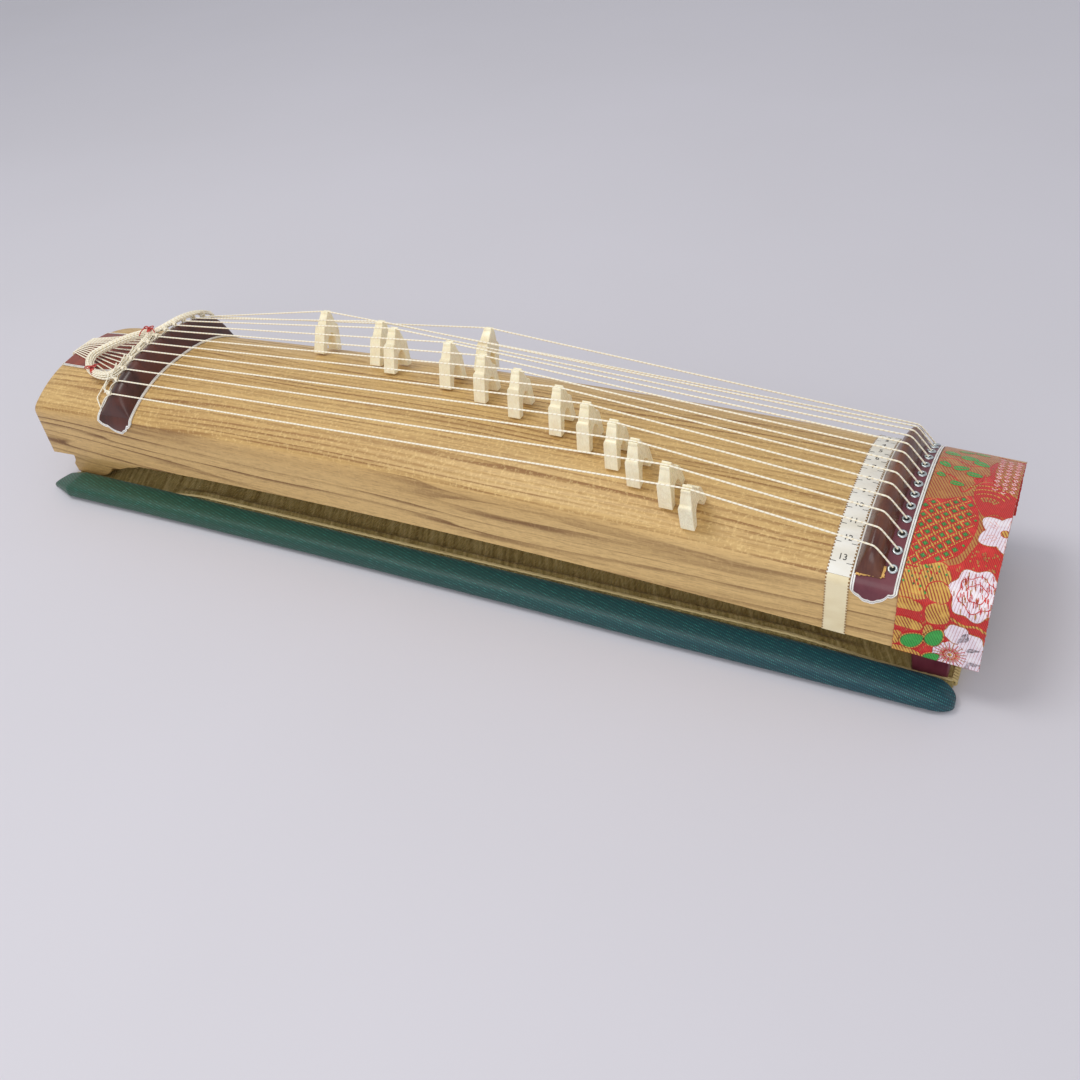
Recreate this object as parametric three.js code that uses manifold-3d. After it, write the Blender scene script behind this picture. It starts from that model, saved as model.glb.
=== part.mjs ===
// A miniature koto: a 13-string zither on its rush mat.
// Millimetres. +X runs along the strings from the tail to the head, +Y to the far side, +Z up.
// The origin lies on the ground under the middle of the instrument.
// String 1 is the farthest from the player (+Y) and string 13 the nearest (-Y).
import * as THREE from 'three';
import { mergeVertices } from 'three/addons/utils/BufferGeometryUtils.js';
import Module from 'manifold-3d';

const wasm = await Module();
wasm.setup();

// ---- driving dimensions ----------------------------------------------------------------

const CLEAR = 0.3; // gap between touching pieces

// body
const BODY_HALF = 299; // half the length of the wooden body
const TAIL_HALF_WIDTH = 55;
const HEAD_HALF_WIDTH = 60;
const SIDE_HEIGHT = 34.5;
const ARCH_RISE = 15.5;
const ARCH_POWER = 2.5; // exponent of the arch, a little fuller than a parabola
const CAMBER = 9; // rise of the body's middle over its ends
const TOP_THICKNESS = 5;
const SIDE_THICKNESS = 5;
const BACK_THICKNESS = 4;
const END_THICKNESS = 7;
const BRACE_THICKNESS = 5;
const BRACE_PLACES = [-160, 0, 160];
const SOUND_HOLE = { length: 50, width: 26, x: 235 };

// rush mat and feet
const MAT = { tail: -288, head: 290, thickness: 4 };
const EDGING = { width: 20, height: 12, inner: 54, tail: -297, head: 293 };
const EDGING_FULLNESS = 0.6; // exponent of the roll's section: 1 is an ellipse, smaller is squarer
const FOOT_HEIGHT = 18;
const BODY_LIFT = MAT.thickness + FOOT_HEIGHT; // height of the body's bottom at its ends

// head end
const NUMBER_TAPE = { tail: 227, head: 238.2, thickness: 0.3 };
const HEAD_PLATE = { tail: 238.7, head: 260, thickness: 0.8, tipDrop: 9 };
const HEAD_SADDLE = { tail: 239.5, crest: 245, head: 252, height: 11.2, reach: 56.5 };
const EYELET_X = 255.5;
const COVER = { tail: 260.5, head: 300.2, thickness: 1 };

// tail end
const TAIL_PLATE = { tail: -239, head: -210, thickness: 0.8, tipDrop: 8 };
const TAIL_SADDLE = { tail: -236.5, crest: -221, head: -211.5, height: 14.2, reach: 53.5 };
const LEAF_PLATE = { tail: -297.5, thickness: 0.8 };
const TRIM_WIDTH = 1.3;

// strings and bridges
const STRING_COUNT = 13;
const STRING_DIAMETER = 0.9;
const TAIL_PITCH = 8.5;
const HEAD_PITCH = 8.8;
const HEAD_SHIFT = 1.8; // the eyelets lie a little towards the far side
const WIDEST_PITCH = 9.75; // the bridges push the strings apart, most of all towards the head
const TAIL_EDGE_PITCH = 1.5; // string spacing where the strings turn over the tail end
const GATHER_HALF = 26.5; // half the width of the strings where they start to fan in
// length from the head saddle to the bridge, strings 1 to 13, in the common tuning
const SPEAKING_LENGTHS = [251, 362, 315, 300, 257, 230, 204, 175, 155, 136, 121, 101, 87];
const BRIDGE = { height: 26.6, thickness: 7.4, headThickness: 5.4, halfBase: 9.8, grooveDepth: 1.2 };

// spare string lengths
const HANK = { x: -256.5, y: -9, halfLength: 27, halfWidth: 15.5, low: 3.2, thickness: 5 };
const TIE = { y: 20, halfWidth: 1.6, halfLength: 5, thickness: 0.9 };

// ---- the body's surface ----------------------------------------------------------------

const halfWidth = (x) => {
  const share = (x + BODY_HALF) / (2 * BODY_HALF);
  return THREE.MathUtils.lerp(TAIL_HALF_WIDTH, HEAD_HALF_WIDTH, share);
};
const bodyBottom = (x) => BODY_LIFT + CAMBER * (1 - (x / BODY_HALF) ** 2);
const camberSlope = (x) => (-2 * CAMBER * x) / BODY_HALF ** 2;
const archHeight = (ratio) => ARCH_RISE * (1 - Math.min(Math.abs(ratio), 1) ** ARCH_POWER);
const boardTop = (x, y) => bodyBottom(x) + SIDE_HEIGHT + archHeight(y / halfWidth(x));
const boardSlope = (x, y) => {
  const ratio = y / halfWidth(x);
  const steepness = ARCH_RISE * ARCH_POWER * Math.abs(ratio) ** (ARCH_POWER - 1);
  return (-Math.sign(ratio) * steepness) / halfWidth(x);
};

// ---- geometry helpers ------------------------------------------------------------------

const PLAIN = { bevelEnabled: false, curveSegments: 4 };
const FINE = { bevelEnabled: false, curveSegments: 8 };
const CUT_TOP = 120; // a cutter reaches from the ground to above every piece
const CUT_SIDE = 80; // and past both sides

function merged(geometry) {
  geometry.deleteAttribute('normal');
  geometry.deleteAttribute('uv');
  return mergeVertices(geometry, 1e-4);
}

function toSolid(geometry) {
  const shared = merged(geometry);
  return new wasm.Manifold(new wasm.Mesh({
    numProp: 3,
    vertProperties: new Float32Array(shared.attributes.position.array),
    triVerts: new Uint32Array(shared.index.array),
  }));
}

function toGeometry(solid) {
  const mesh = solid.getMesh();
  const geometry = new THREE.BufferGeometry();
  geometry.setAttribute('position', new THREE.BufferAttribute(mesh.vertProperties, 3));
  geometry.setIndex(new THREE.BufferAttribute(mesh.triVerts, 1));
  return geometry;
}

// Moves every vertex of a geometry by a function of its place.
function reshaped(geometry, move) {
  const shared = merged(geometry);
  const place = shared.attributes.position;
  const point = new THREE.Vector3();
  for (let i = 0; i < place.count; i += 1) {
    point.fromBufferAttribute(place, i);
    move(point);
    place.setXYZ(i, point.x, point.y, point.z);
  }
  return shared;
}

// A straight body-shaped solid takes the body's taper and camber. Its section is drawn at
// half-width 1 per HEAD_HALF_WIDTH, with the body's bottom at z = 0.
function bowed(geometry) {
  return reshaped(geometry, (point) => {
    point.y *= halfWidth(point.x) / HEAD_HALF_WIDTH;
    point.z += bodyBottom(point.x);
  });
}

// A section in the YZ plane, drawn as (y, z), pushed along X from one place to another.
function alongX(shape, from, to, steps = 1, detail = PLAIN) {
  const geometry = new THREE.ExtrudeGeometry(shape, { depth: to - from, steps, ...detail });
  geometry.rotateX(Math.PI / 2);
  geometry.rotateZ(Math.PI / 2);
  geometry.translate(from, 0, 0);
  return geometry;
}

// An outline in the XZ plane, drawn as (x, z), pushed along Y from one place to another.
function alongY(shape, from, to) {
  const geometry = new THREE.ExtrudeGeometry(shape, { depth: to - from, ...PLAIN });
  geometry.rotateX(Math.PI / 2);
  geometry.translate(0, to, 0);
  return geometry;
}

// An outline in the XY plane, pushed up from one height to another.
function upward(shape, from, to, detail = PLAIN) {
  const geometry = new THREE.ExtrudeGeometry(shape, { depth: to - from, ...detail });
  geometry.translate(0, 0, from);
  return geometry;
}

const outline = (points) => new THREE.Shape(points.map(([a, b]) => new THREE.Vector2(a, b)));

// Points across the arch from the far side to the near one, at a height over the board.
function archPoints(lift, reach = 1, count = 16) {
  return Array.from({ length: count + 1 }, (_, i) => {
    const ratio = reach * (1 - (2 * i) / count);
    return [ratio * HEAD_HALF_WIDTH, SIDE_HEIGHT + archHeight(ratio) + lift];
  });
}

// A layer that follows the arch between two heights over the board.
function archLayer(from, to, low, high, reach = 1, steps = 1) {
  const shape = outline([...archPoints(high, reach), ...archPoints(low, reach).reverse()]);
  return bowed(alongX(shape, from, to, steps));
}

// A layer that follows the arch and hangs down both sides to a height over the body's bottom.
function wrappedLayer(from, to, inner, thickness, sideLow, steps = 1) {
  const outer = inner + thickness;
  const ring = (offset) => {
    const half = HEAD_HALF_WIDTH + offset;
    const corner = SIDE_HEIGHT + offset * 0.7;
    return [
      [half, sideLow], [half, corner], ...archPoints(offset, 0.97), [-half, corner], [-half, sideLow],
    ];
  };
  const shape = outline([...ring(outer), ...ring(inner).reverse()]);
  return bowed(alongX(shape, from, to, steps));
}

// A ridge across the board: its height over the board is a function of x and y.
function ridge({ tail, head, reach }, low, heightAt, segments) {
  const box = new THREE.BoxGeometry(1, 1, 1, segments.x, segments.y, 1);
  return reshaped(box, (point) => {
    const x = THREE.MathUtils.lerp(tail, head, point.x + 0.5);
    const y = 2 * point.y * reach;
    const lift = point.z > 0 ? heightAt(x, y) : low;
    point.set(x, y, boardTop(x, y) + lift);
  });
}

// A route that has one step at each of its points.
class Route extends THREE.Curve {
  constructor(points) {
    super();
    this.points = points;
  }

  getPoint(t, target = new THREE.Vector3()) {
    const place = t * (this.points.length - 1);
    const first = Math.min(Math.floor(place), this.points.length - 2);
    return target.lerpVectors(this.points[first], this.points[first + 1], place - first);
  }

  getPointAt(t, target) {
    return this.getPoint(t, target);
  }

  getTangentAt(t, target = new THREE.Vector3()) {
    const reach = 0.5 / (this.points.length - 1);
    const ahead = this.getPoint(Math.min(t + reach, 1));
    const behind = this.getPoint(Math.max(t - reach, 0));
    return target.subVectors(ahead, behind).normalize();
  }
}

function tube(points, diameter) {
  const circle = new THREE.Shape();
  circle.absarc(0, 0, diameter / 2, 0, 2 * Math.PI);
  const route = new Route(points.map((point) => new THREE.Vector3(...point)));
  return new THREE.ExtrudeGeometry(circle, {
    steps: points.length - 1,
    curveSegments: 3,
    bevelEnabled: false,
    extrudePath: route,
  });
}

// ---- finishes --------------------------------------------------------------------------

const finish = (color, roughness, metalness = 0) => () => (
  new THREE.MeshStandardMaterial({ color, roughness, metalness })
);
const paulownia = finish(0xc8a56e, 0.55);
const paulowniaSide = finish(0xb4946e, 0.6);
const maroon = finish(0x4b2323, 0.25);
const whiteTrim = finish(0xe6e2d6, 0.4);
const ivory = finish(0xebe4c8, 0.35);
const twistedString = finish(0xebe1c8, 0.6);
const paper = finish(0xe8e6e0, 0.8);
const creamTape = finish(0xd6c493, 0.7);
const brocade = finish(0xc83c28, 0.7);
const redTie = finish(0xbe3c32, 0.7);
const rush = finish(0x826e3c, 0.85);
const greenCloth = finish(0x0f5560, 0.7);

// ---- the assembly ----------------------------------------------------------------------

const koto = new THREE.Group();

function piece(name, geometry, material) {
  const mesh = new THREE.Mesh(geometry, material());
  mesh.name = name;
  koto.add(mesh);
}

// ---- body ------------------------------------------------------------------------------

const BODY_STEPS = 12;
const innerHalf = HEAD_HALF_WIDTH - SIDE_THICKNESS;

// The side boards stand under the edges of the top, so their upper edge is bevelled to it.
function sideBoard(side) {
  const edge = SIDE_HEIGHT - TOP_THICKNESS - CLEAR;
  const shape = outline([
    [side * innerHalf, 0],
    [side * HEAD_HALF_WIDTH, 0],
    [side * HEAD_HALF_WIDTH, edge],
    [side * innerHalf, edge + archHeight(innerHalf / HEAD_HALF_WIDTH) - CLEAR],
  ]);
  return bowed(alongX(shape, -BODY_HALF, BODY_HALF, BODY_STEPS));
}

function soundHole(x) {
  const radius = SOUND_HOLE.width / 2;
  const straight = SOUND_HOLE.length / 2 - radius;
  const shape = new THREE.Shape();
  shape.absarc(x + straight, 0, radius, -Math.PI / 2, Math.PI / 2);
  shape.absarc(x - straight, 0, radius, Math.PI / 2, (3 * Math.PI) / 2);
  return toSolid(upward(shape, 0, SIDE_HEIGHT + BODY_LIFT));
}

function backBoard() {
  const half = innerHalf - CLEAR;
  const shape = outline([[-half, 0], [half, 0], [half, BACK_THICKNESS], [-half, BACK_THICKNESS]]);
  const board = toSolid(bowed(alongX(shape, -BODY_HALF, BODY_HALF, BODY_STEPS)));
  const holes = [-SOUND_HOLE.x, SOUND_HOLE.x].map(soundHole);
  return toGeometry(board.subtract(holes[0]).subtract(holes[1]));
}

// A bulkhead fills the hollow between the sides, the back and the top.
function bulkhead(from, to, opening) {
  const half = innerHalf - CLEAR;
  const reach = half / HEAD_HALF_WIDTH;
  const floor = BACK_THICKNESS + CLEAR;
  const roof = archPoints(-TOP_THICKNESS - 2 * CLEAR, reach, 12);
  const shape = outline([[-half, floor], [half, floor], ...roof]);
  if (opening) {
    const window = new THREE.Path();
    window.absellipse(0, 22, 24, 10, 0, 2 * Math.PI);
    shape.holes.push(window);
  }
  return bowed(alongX(shape, from, to));
}

piece('top_board', archLayer(-BODY_HALF, BODY_HALF, -TOP_THICKNESS, 0, 1, BODY_STEPS), paulownia);
piece('side_board_front', sideBoard(-1), paulowniaSide);
piece('side_board_rear', sideBoard(1), paulowniaSide);
piece('back_board', backBoard(), paulowniaSide);
piece('tail_end_board', bulkhead(-BODY_HALF, -BODY_HALF + END_THICKNESS, false), paulowniaSide);
piece('head_end_board', bulkhead(BODY_HALF - END_THICKNESS, BODY_HALF, false), paulowniaSide);
BRACE_PLACES.forEach((x, i) => {
  piece(`brace_${i + 1}`, bulkhead(x - BRACE_THICKNESS / 2, x + BRACE_THICKNESS / 2, true), paulownia);
});

// ---- feet ------------------------------------------------------------------------------

const footTop = (x) => bodyBottom(x) - CLEAR;
const FOOT_BOTTOM = MAT.thickness + CLEAR;

// A tail foot is a bracket with a scrolled toe.
function tailFoot(side) {
  const height = FOOT_HEIGHT;
  const shape = new THREE.Shape();
  shape.moveTo(-290, footTop(-290));
  shape.quadraticCurveTo(-284, FOOT_BOTTOM + height * 0.7, -290, FOOT_BOTTOM + height * 0.35);
  shape.lineTo(-289, FOOT_BOTTOM);
  shape.lineTo(-270, FOOT_BOTTOM);
  shape.quadraticCurveTo(-259, FOOT_BOTTOM + 1, -254, FOOT_BOTTOM + height * 0.5);
  shape.quadraticCurveTo(-246, FOOT_BOTTOM + height * 0.5, -238, FOOT_BOTTOM + height * 0.72);
  shape.quadraticCurveTo(-226, FOOT_BOTTOM + height * 0.78, -219, footTop(-219));
  const near = side * 40;
  const far = side * 50;
  return alongY(shape, Math.min(near, far), Math.max(near, far));
}

function headFoot(side) {
  const shape = outline([
    [268, footTop(268)], [270, FOOT_BOTTOM], [287, FOOT_BOTTOM], [287, footTop(287)],
  ]);
  const near = side * 34;
  const far = side * 53;
  return alongY(shape, Math.min(near, far), Math.max(near, far));
}

piece('tail_foot_front', tailFoot(-1), paulowniaSide);
piece('tail_foot_rear', tailFoot(1), paulowniaSide);
piece('head_foot_front', headFoot(-1), maroon);
piece('head_foot_rear', headFoot(1), maroon);

// ---- plates with a scalloped end and a white edge -----------------------------------------

// The side view of a plate's end: two small lobes and a longer one with the tip between them.
function scallop({ tail, head, tipDrop }, inset) {
  const left = tail + inset;
  const right = head - inset;
  const middle = (tail + head) / 2;
  const lobe = (head - tail) * 0.22;
  const shoulder = bodyBottom(middle) + SIDE_HEIGHT - 3 + inset;
  const tip = bodyBottom(middle) + SIDE_HEIGHT - tipDrop + inset;
  const step = (shoulder + tip) / 2;
  const shape = new THREE.Shape();
  shape.moveTo(left, CUT_TOP);
  shape.lineTo(left, shoulder);
  shape.quadraticCurveTo(left + lobe * 0.6, shoulder - 1, middle - lobe, step);
  shape.quadraticCurveTo(middle - lobe * 0.3, step - 1, middle, tip);
  shape.quadraticCurveTo(middle + lobe * 0.3, step - 1, middle + lobe, step);
  shape.quadraticCurveTo(right - lobe * 0.6, shoulder - 1, right, shoulder);
  shape.lineTo(right, CUT_TOP);
  return toSolid(alongY(shape, -CUT_SIDE, CUT_SIDE));
}

function scallopedPlate(plate, lift) {
  const blank = () => toSolid(wrappedLayer(plate.tail, plate.head, lift, plate.thickness, 10));
  const body = toGeometry(blank().intersect(scallop(plate, TRIM_WIDTH + CLEAR)));
  const edge = toGeometry(blank().intersect(scallop(plate, 0)).subtract(scallop(plate, TRIM_WIDTH)));
  return { body, edge };
}

const headPlate = scallopedPlate(HEAD_PLATE, CLEAR);
piece('head_plate', headPlate.body, maroon);
piece('head_plate_trim', headPlate.edge, whiteTrim);
const tailPlate = scallopedPlate(TAIL_PLATE, CLEAR);
piece('tail_plate', tailPlate.body, maroon);
piece('tail_plate_trim', tailPlate.edge, whiteTrim);

// The oak leaf covers the tail end: lobes point to the saddle, the straight edge is the tail's.
function leafOutline(inset) {
  const tail = LEAF_PLATE.tail + inset;
  const shape = new THREE.Shape();
  shape.moveTo(tail, -24 + inset);
  shape.lineTo(-272, -25 + inset);
  shape.quadraticCurveTo(-246 - inset, -27 + inset, -247 - inset, -19);
  shape.quadraticCurveTo(-253 - inset, -13, -252 - inset, -10);
  shape.quadraticCurveTo(-241 - inset, -9, -241 - inset, 0);
  shape.quadraticCurveTo(-241 - inset, 9, -252 - inset, 10);
  shape.quadraticCurveTo(-253 - inset, 13, -247 - inset, 19);
  shape.quadraticCurveTo(-246 - inset, 27 - inset, -272, 25 - inset);
  shape.lineTo(tail, 24 - inset);
  return shape;
}

function leafPlate(shapeOuter, shapeInner) {
  const low = CLEAR;
  const high = CLEAR + LEAF_PLATE.thickness;
  const blank = toSolid(archLayer(-298, -240, low, high, 0.6, 3));
  const outer = blank.intersect(toSolid(upward(shapeOuter, 0, CUT_TOP)));
  if (!shapeInner) return toGeometry(outer);
  return toGeometry(outer.subtract(toSolid(upward(shapeInner, 0, CUT_TOP))));
}

piece('oak_leaf_plate', leafPlate(leafOutline(TRIM_WIDTH + CLEAR)), maroon);
piece('oak_leaf_trim', leafPlate(leafOutline(0), leafOutline(TRIM_WIDTH)), whiteTrim);

// ---- saddles ---------------------------------------------------------------------------

const SADDLE_LOW = 2 * CLEAR + HEAD_PLATE.thickness;

// A rounded ridge: steep towards the strings' anchors, fuller towards the bridges.
function saddleHeight(saddle) {
  return (x, y) => {
    const before = x < saddle.crest;
    const run = before ? saddle.crest - saddle.tail : saddle.head - saddle.crest;
    const ratio = Math.abs(x - saddle.crest) / run;
    const endFall = Math.min(1, (saddle.reach + 1 - Math.abs(y)) / 2) ** 0.5;
    const rise = (saddle.height - SADDLE_LOW - 0.5) * (1 - ratio ** 1.7) * endFall;
    return SADDLE_LOW + 0.5 + rise;
  };
}

const headRidge = ridge(HEAD_SADDLE, SADDLE_LOW, saddleHeight(HEAD_SADDLE), { x: 7, y: 14 });
const tailRidge = ridge(TAIL_SADDLE, SADDLE_LOW, saddleHeight(TAIL_SADDLE), { x: 7, y: 14 });
piece('head_saddle', headRidge, maroon);
piece('tail_saddle', tailRidge, maroon);

// ---- number tape, side tapes and brocade cover --------------------------------------------

const numberTape = archLayer(
  NUMBER_TAPE.tail, NUMBER_TAPE.head, CLEAR, CLEAR + NUMBER_TAPE.thickness, 0.985,
);
piece('number_tape', numberTape, paper);

function sideTape(side) {
  const inner = side * (HEAD_HALF_WIDTH + CLEAR);
  const outer = side * (HEAD_HALF_WIDTH + CLEAR + NUMBER_TAPE.thickness);
  const top = SIDE_HEIGHT - 1;
  const shape = outline([[inner, 0], [outer, 0], [outer, top], [inner, top]]);
  return bowed(alongX(shape, NUMBER_TAPE.tail, NUMBER_TAPE.head));
}

piece('side_tape_front', sideTape(-1), creamTape);
piece('side_tape_rear', sideTape(1), creamTape);
piece('brocade_cover', wrappedLayer(COVER.tail, COVER.head, CLEAR, COVER.thickness, 0, 2), brocade);

// ---- bridges ---------------------------------------------------------------------------

const stringSide = (number) => (STRING_COUNT + 1) / 2 - number;
const tailY = (number) => stringSide(number) * TAIL_PITCH;
const headY = (number) => HEAD_SHIFT + stringSide(number) * HEAD_PITCH;
const bridgeX = (number) => HEAD_SADDLE.crest - SPEAKING_LENGTHS[number - 1];

function bridgeY(number) {
  const toSaddle = bridgeX(number) - TAIL_SADDLE.crest;
  const share = toSaddle / (HEAD_SADDLE.crest - TAIL_SADDLE.crest);
  return stringSide(number) * THREE.MathUtils.lerp(TAIL_PITCH, WIDEST_PITCH, share);
}

const STRING_ON_BRIDGE = BRIDGE.height - BRIDGE.grooveDepth + CLEAR + STRING_DIAMETER / 2;

// A bridge stands square on the arched board, so it leans outwards. Its foot is placed so
// that the groove in its head comes under its string.
function bridgeSeat(number) {
  const x = bridgeX(number);
  const target = bridgeY(number);
  let y = target;
  for (let i = 0; i < 30; i += 1) {
    y = target + STRING_ON_BRIDGE * Math.sin(Math.atan(boardSlope(x, y)));
  }
  const lean = Math.atan(boardSlope(x, y));
  return { x, y, lean, z: boardTop(x, y) };
}

// Half of the bridge's end view, from the groove to the foot and back up inside the arch.
function bridgeOutline() {
  const { height, halfBase, grooveDepth } = BRIDGE;
  const half = [
    [0.55, height - grooveDepth], [0.95, height - 0.3], [1.5, height], [2.2, height - 0.5],
    [2.7, height - 2.4], [4.1, height - 5.4], [5.2, height - 8.4], [halfBase - 3.1, height - 8.9],
    [halfBase - 2.7, height - 9.9], [halfBase, 1.2], [halfBase - 0.7, 0.8],
    [halfBase - 4.3, 0.8], [halfBase - 5.2, 5], [halfBase - 6.2, 9.4], [2, 12.2],
  ];
  const mirrored = half.map(([y, z]) => [-y, z]).reverse();
  return outline([...half, [0, 13.2], ...mirrored]);
}

function bridge(number) {
  const { x, y, lean, z } = bridgeSeat(number);
  const blank = alongX(bridgeOutline(), -BRIDGE.thickness / 2, BRIDGE.thickness / 2);
  const thinning = 1 - BRIDGE.headThickness / BRIDGE.thickness;
  const geometry = reshaped(blank, (point) => {
    point.x *= 1 - thinning * (point.z / BRIDGE.height);
  });
  geometry.rotateX(lean);
  geometry.rotateY(-Math.atan(camberSlope(x)));
  geometry.translate(x, y, z);
  return geometry;
}

for (let number = 1; number <= STRING_COUNT; number += 1) {
  piece(`bridge_${String(number).padStart(2, '0')}`, bridge(number), ivory);
}

// ---- strings ---------------------------------------------------------------------------

const overPlate = 2 * CLEAR + HEAD_PLATE.thickness + STRING_DIAMETER / 2;
const overSaddle = (saddle) => saddle.height + CLEAR + STRING_DIAMETER / 2;
const overLeaf = 2 * CLEAR + LEAF_PLATE.thickness + STRING_DIAMETER / 2;

// From the eyelet over the head saddle to the bridge, on to the tail saddle, down to the knot
// behind it, then back over the oak leaf and round the tail end to the underside.
function stringRoute(number) {
  const side = stringSide(number);
  const on = (x, y, lift) => [x, y, boardTop(x, y) + lift];
  const seat = bridgeSeat(number);
  const headCrest = overSaddle(HEAD_SADDLE);
  const tailCrest = overSaddle(TAIL_SADDLE);
  const gatherY = Math.sign(side) * GATHER_HALF * (Math.abs(side) / 6) ** 0.8;
  const edgeY = side * TAIL_EDGE_PITCH;
  const runX = -240 - 1.4 * Math.max(Math.abs(side) - 2, 0);
  const far = tailY(number);
  const end = -BODY_HALF - CLEAR - STRING_DIAMETER / 2;
  const below = bodyBottom(-BODY_HALF) - CLEAR - STRING_DIAMETER / 2;
  const along = (share) => THREE.MathUtils.lerp(far, gatherY, share);
  const overBridge = (shift) => [
    seat.x + shift,
    seat.y - STRING_ON_BRIDGE * Math.sin(seat.lean),
    seat.z + STRING_ON_BRIDGE * Math.cos(seat.lean) + shift * camberSlope(seat.x),
  ];
  return [
    on(EYELET_X, headY(number), overPlate),
    on(EYELET_X - 1.2, headY(number), overPlate + 1.3),
    on(HEAD_SADDLE.crest + 3, headY(number), headCrest - 1.9),
    on(HEAD_SADDLE.crest + 1.2, headY(number), headCrest - 0.35),
    on(HEAD_SADDLE.crest - 0.6, headY(number), headCrest),
    overBridge(BRIDGE.headThickness * 0.6),
    overBridge(-BRIDGE.headThickness * 0.6),
    on(TAIL_SADDLE.crest + 0.6, far, tailCrest),
    on(TAIL_SADDLE.crest - 2.5, far, tailCrest - 0.3),
    on(TAIL_SADDLE.crest - 9, far, tailCrest - 4.4),
    on(TAIL_SADDLE.tail + 1.5, far, overPlate + 3.4),
    on(TAIL_SADDLE.tail - 1.2, far, overPlate + 0.3),
    on(runX, along(0.25), overLeaf),
    on(runX - 1.2, along(0.8), overLeaf),
    on(runX - 6, gatherY * 0.97, overLeaf),
    on(-270, THREE.MathUtils.lerp(gatherY, edgeY, 0.47), overLeaf),
    on(-BODY_HALF + 1, edgeY, overLeaf),
    [end, edgeY, boardTop(-BODY_HALF, edgeY) + 0.3],
    [end, edgeY, below + 0.5],
    [end + 0.5, edgeY, below],
    [-282, edgeY, below],
  ];
}

for (let number = 1; number <= STRING_COUNT; number += 1) {
  piece(`string_${String(number).padStart(2, '0')}`, tube(stringRoute(number), STRING_DIAMETER), twistedString);
}

// ---- spare string hank with its ties -------------------------------------------------------

function hank() {
  const shape = new THREE.Shape();
  shape.absellipse(HANK.x, HANK.y, HANK.halfWidth, HANK.halfLength, 0, 2 * Math.PI);
  const blank = toSolid(archLayer(
    HANK.x - HANK.halfWidth - 1, HANK.x + HANK.halfWidth + 1, HANK.low, HANK.low + HANK.thickness, 0.8, 2,
  ));
  return toGeometry(blank.intersect(toSolid(upward(shape, 0, CUT_TOP, FINE))));
}

// A tie crosses the hank near one of its ends.
function hankTie(side) {
  const low = HANK.low + HANK.thickness + CLEAR;
  const y = HANK.y + side * TIE.y;
  const blank = archLayer(
    HANK.x - TIE.halfLength, HANK.x + TIE.halfLength, low, low + TIE.thickness, 0.8,
  );
  const strip = new THREE.BoxGeometry(2 * BODY_HALF, 2 * TIE.halfWidth, 2 * CUT_TOP);
  strip.translate(-BODY_HALF, y, 0);
  return toGeometry(toSolid(blank).intersect(toSolid(strip)));
}

piece('string_hank', hank(), twistedString);
piece('hank_tie_near', hankTie(-1), redTie);
piece('hank_tie_far', hankTie(1), redTie);

// ---- rush mat --------------------------------------------------------------------------

const matLength = MAT.head - MAT.tail;
const matMiddle = (MAT.head + MAT.tail) / 2;
const mat = new THREE.BoxGeometry(matLength, 2 * (EDGING.inner - CLEAR), MAT.thickness);
mat.translate(matMiddle, 0, MAT.thickness / 2);
piece('mat_core', mat, rush);

// A padded roll of cloth along each long edge of the mat, flat below, with full shoulders above.
function matEdging(side) {
  const steps = 20;
  const middle = EDGING.inner + EDGING.width / 2;
  const section = [];
  for (let i = 0; i <= steps; i += 1) {
    const turn = (Math.PI * i) / steps;
    const across = Math.sign(Math.cos(turn)) * Math.abs(Math.cos(turn)) ** EDGING_FULLNESS;
    const up = Math.abs(Math.sin(turn)) ** EDGING_FULLNESS;
    section.push([side * middle + (across * EDGING.width) / 2, i === steps ? 0 : EDGING.height * up]);
  }
  return alongX(outline(section), EDGING.tail, EDGING.head);
}

piece('mat_edging_front', matEdging(-1), greenCloth);
piece('mat_edging_rear', matEdging(1), greenCloth);

export default koto;
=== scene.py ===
"""A miniature koto on its rush mat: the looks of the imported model.

Lengths are in millimetres and turn into metres when a mesh is made. The skin of the body is
unrolled into (x, s): x runs from the tail to the head, and s across the section from the crest,
positive down the front side.
"""
import bisect
import math
import random

import bmesh
import bpy
from mathutils import Matrix, Vector


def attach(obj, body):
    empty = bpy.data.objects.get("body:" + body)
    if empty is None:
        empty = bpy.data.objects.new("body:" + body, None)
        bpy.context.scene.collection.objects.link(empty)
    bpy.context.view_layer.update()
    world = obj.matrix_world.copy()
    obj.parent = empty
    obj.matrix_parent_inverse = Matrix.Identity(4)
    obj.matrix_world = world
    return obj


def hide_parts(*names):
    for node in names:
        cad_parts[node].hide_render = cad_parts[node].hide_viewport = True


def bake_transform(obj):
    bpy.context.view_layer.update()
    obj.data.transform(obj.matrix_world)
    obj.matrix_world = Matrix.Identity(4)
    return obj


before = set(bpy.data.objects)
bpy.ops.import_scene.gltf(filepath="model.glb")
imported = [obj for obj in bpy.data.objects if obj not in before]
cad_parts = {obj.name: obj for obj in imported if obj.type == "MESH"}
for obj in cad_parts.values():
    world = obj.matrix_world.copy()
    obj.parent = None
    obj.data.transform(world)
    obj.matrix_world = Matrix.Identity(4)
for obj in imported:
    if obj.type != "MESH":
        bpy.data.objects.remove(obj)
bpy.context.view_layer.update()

MM = 0.001

# ---- driving dimensions, as in the CAD

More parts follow.
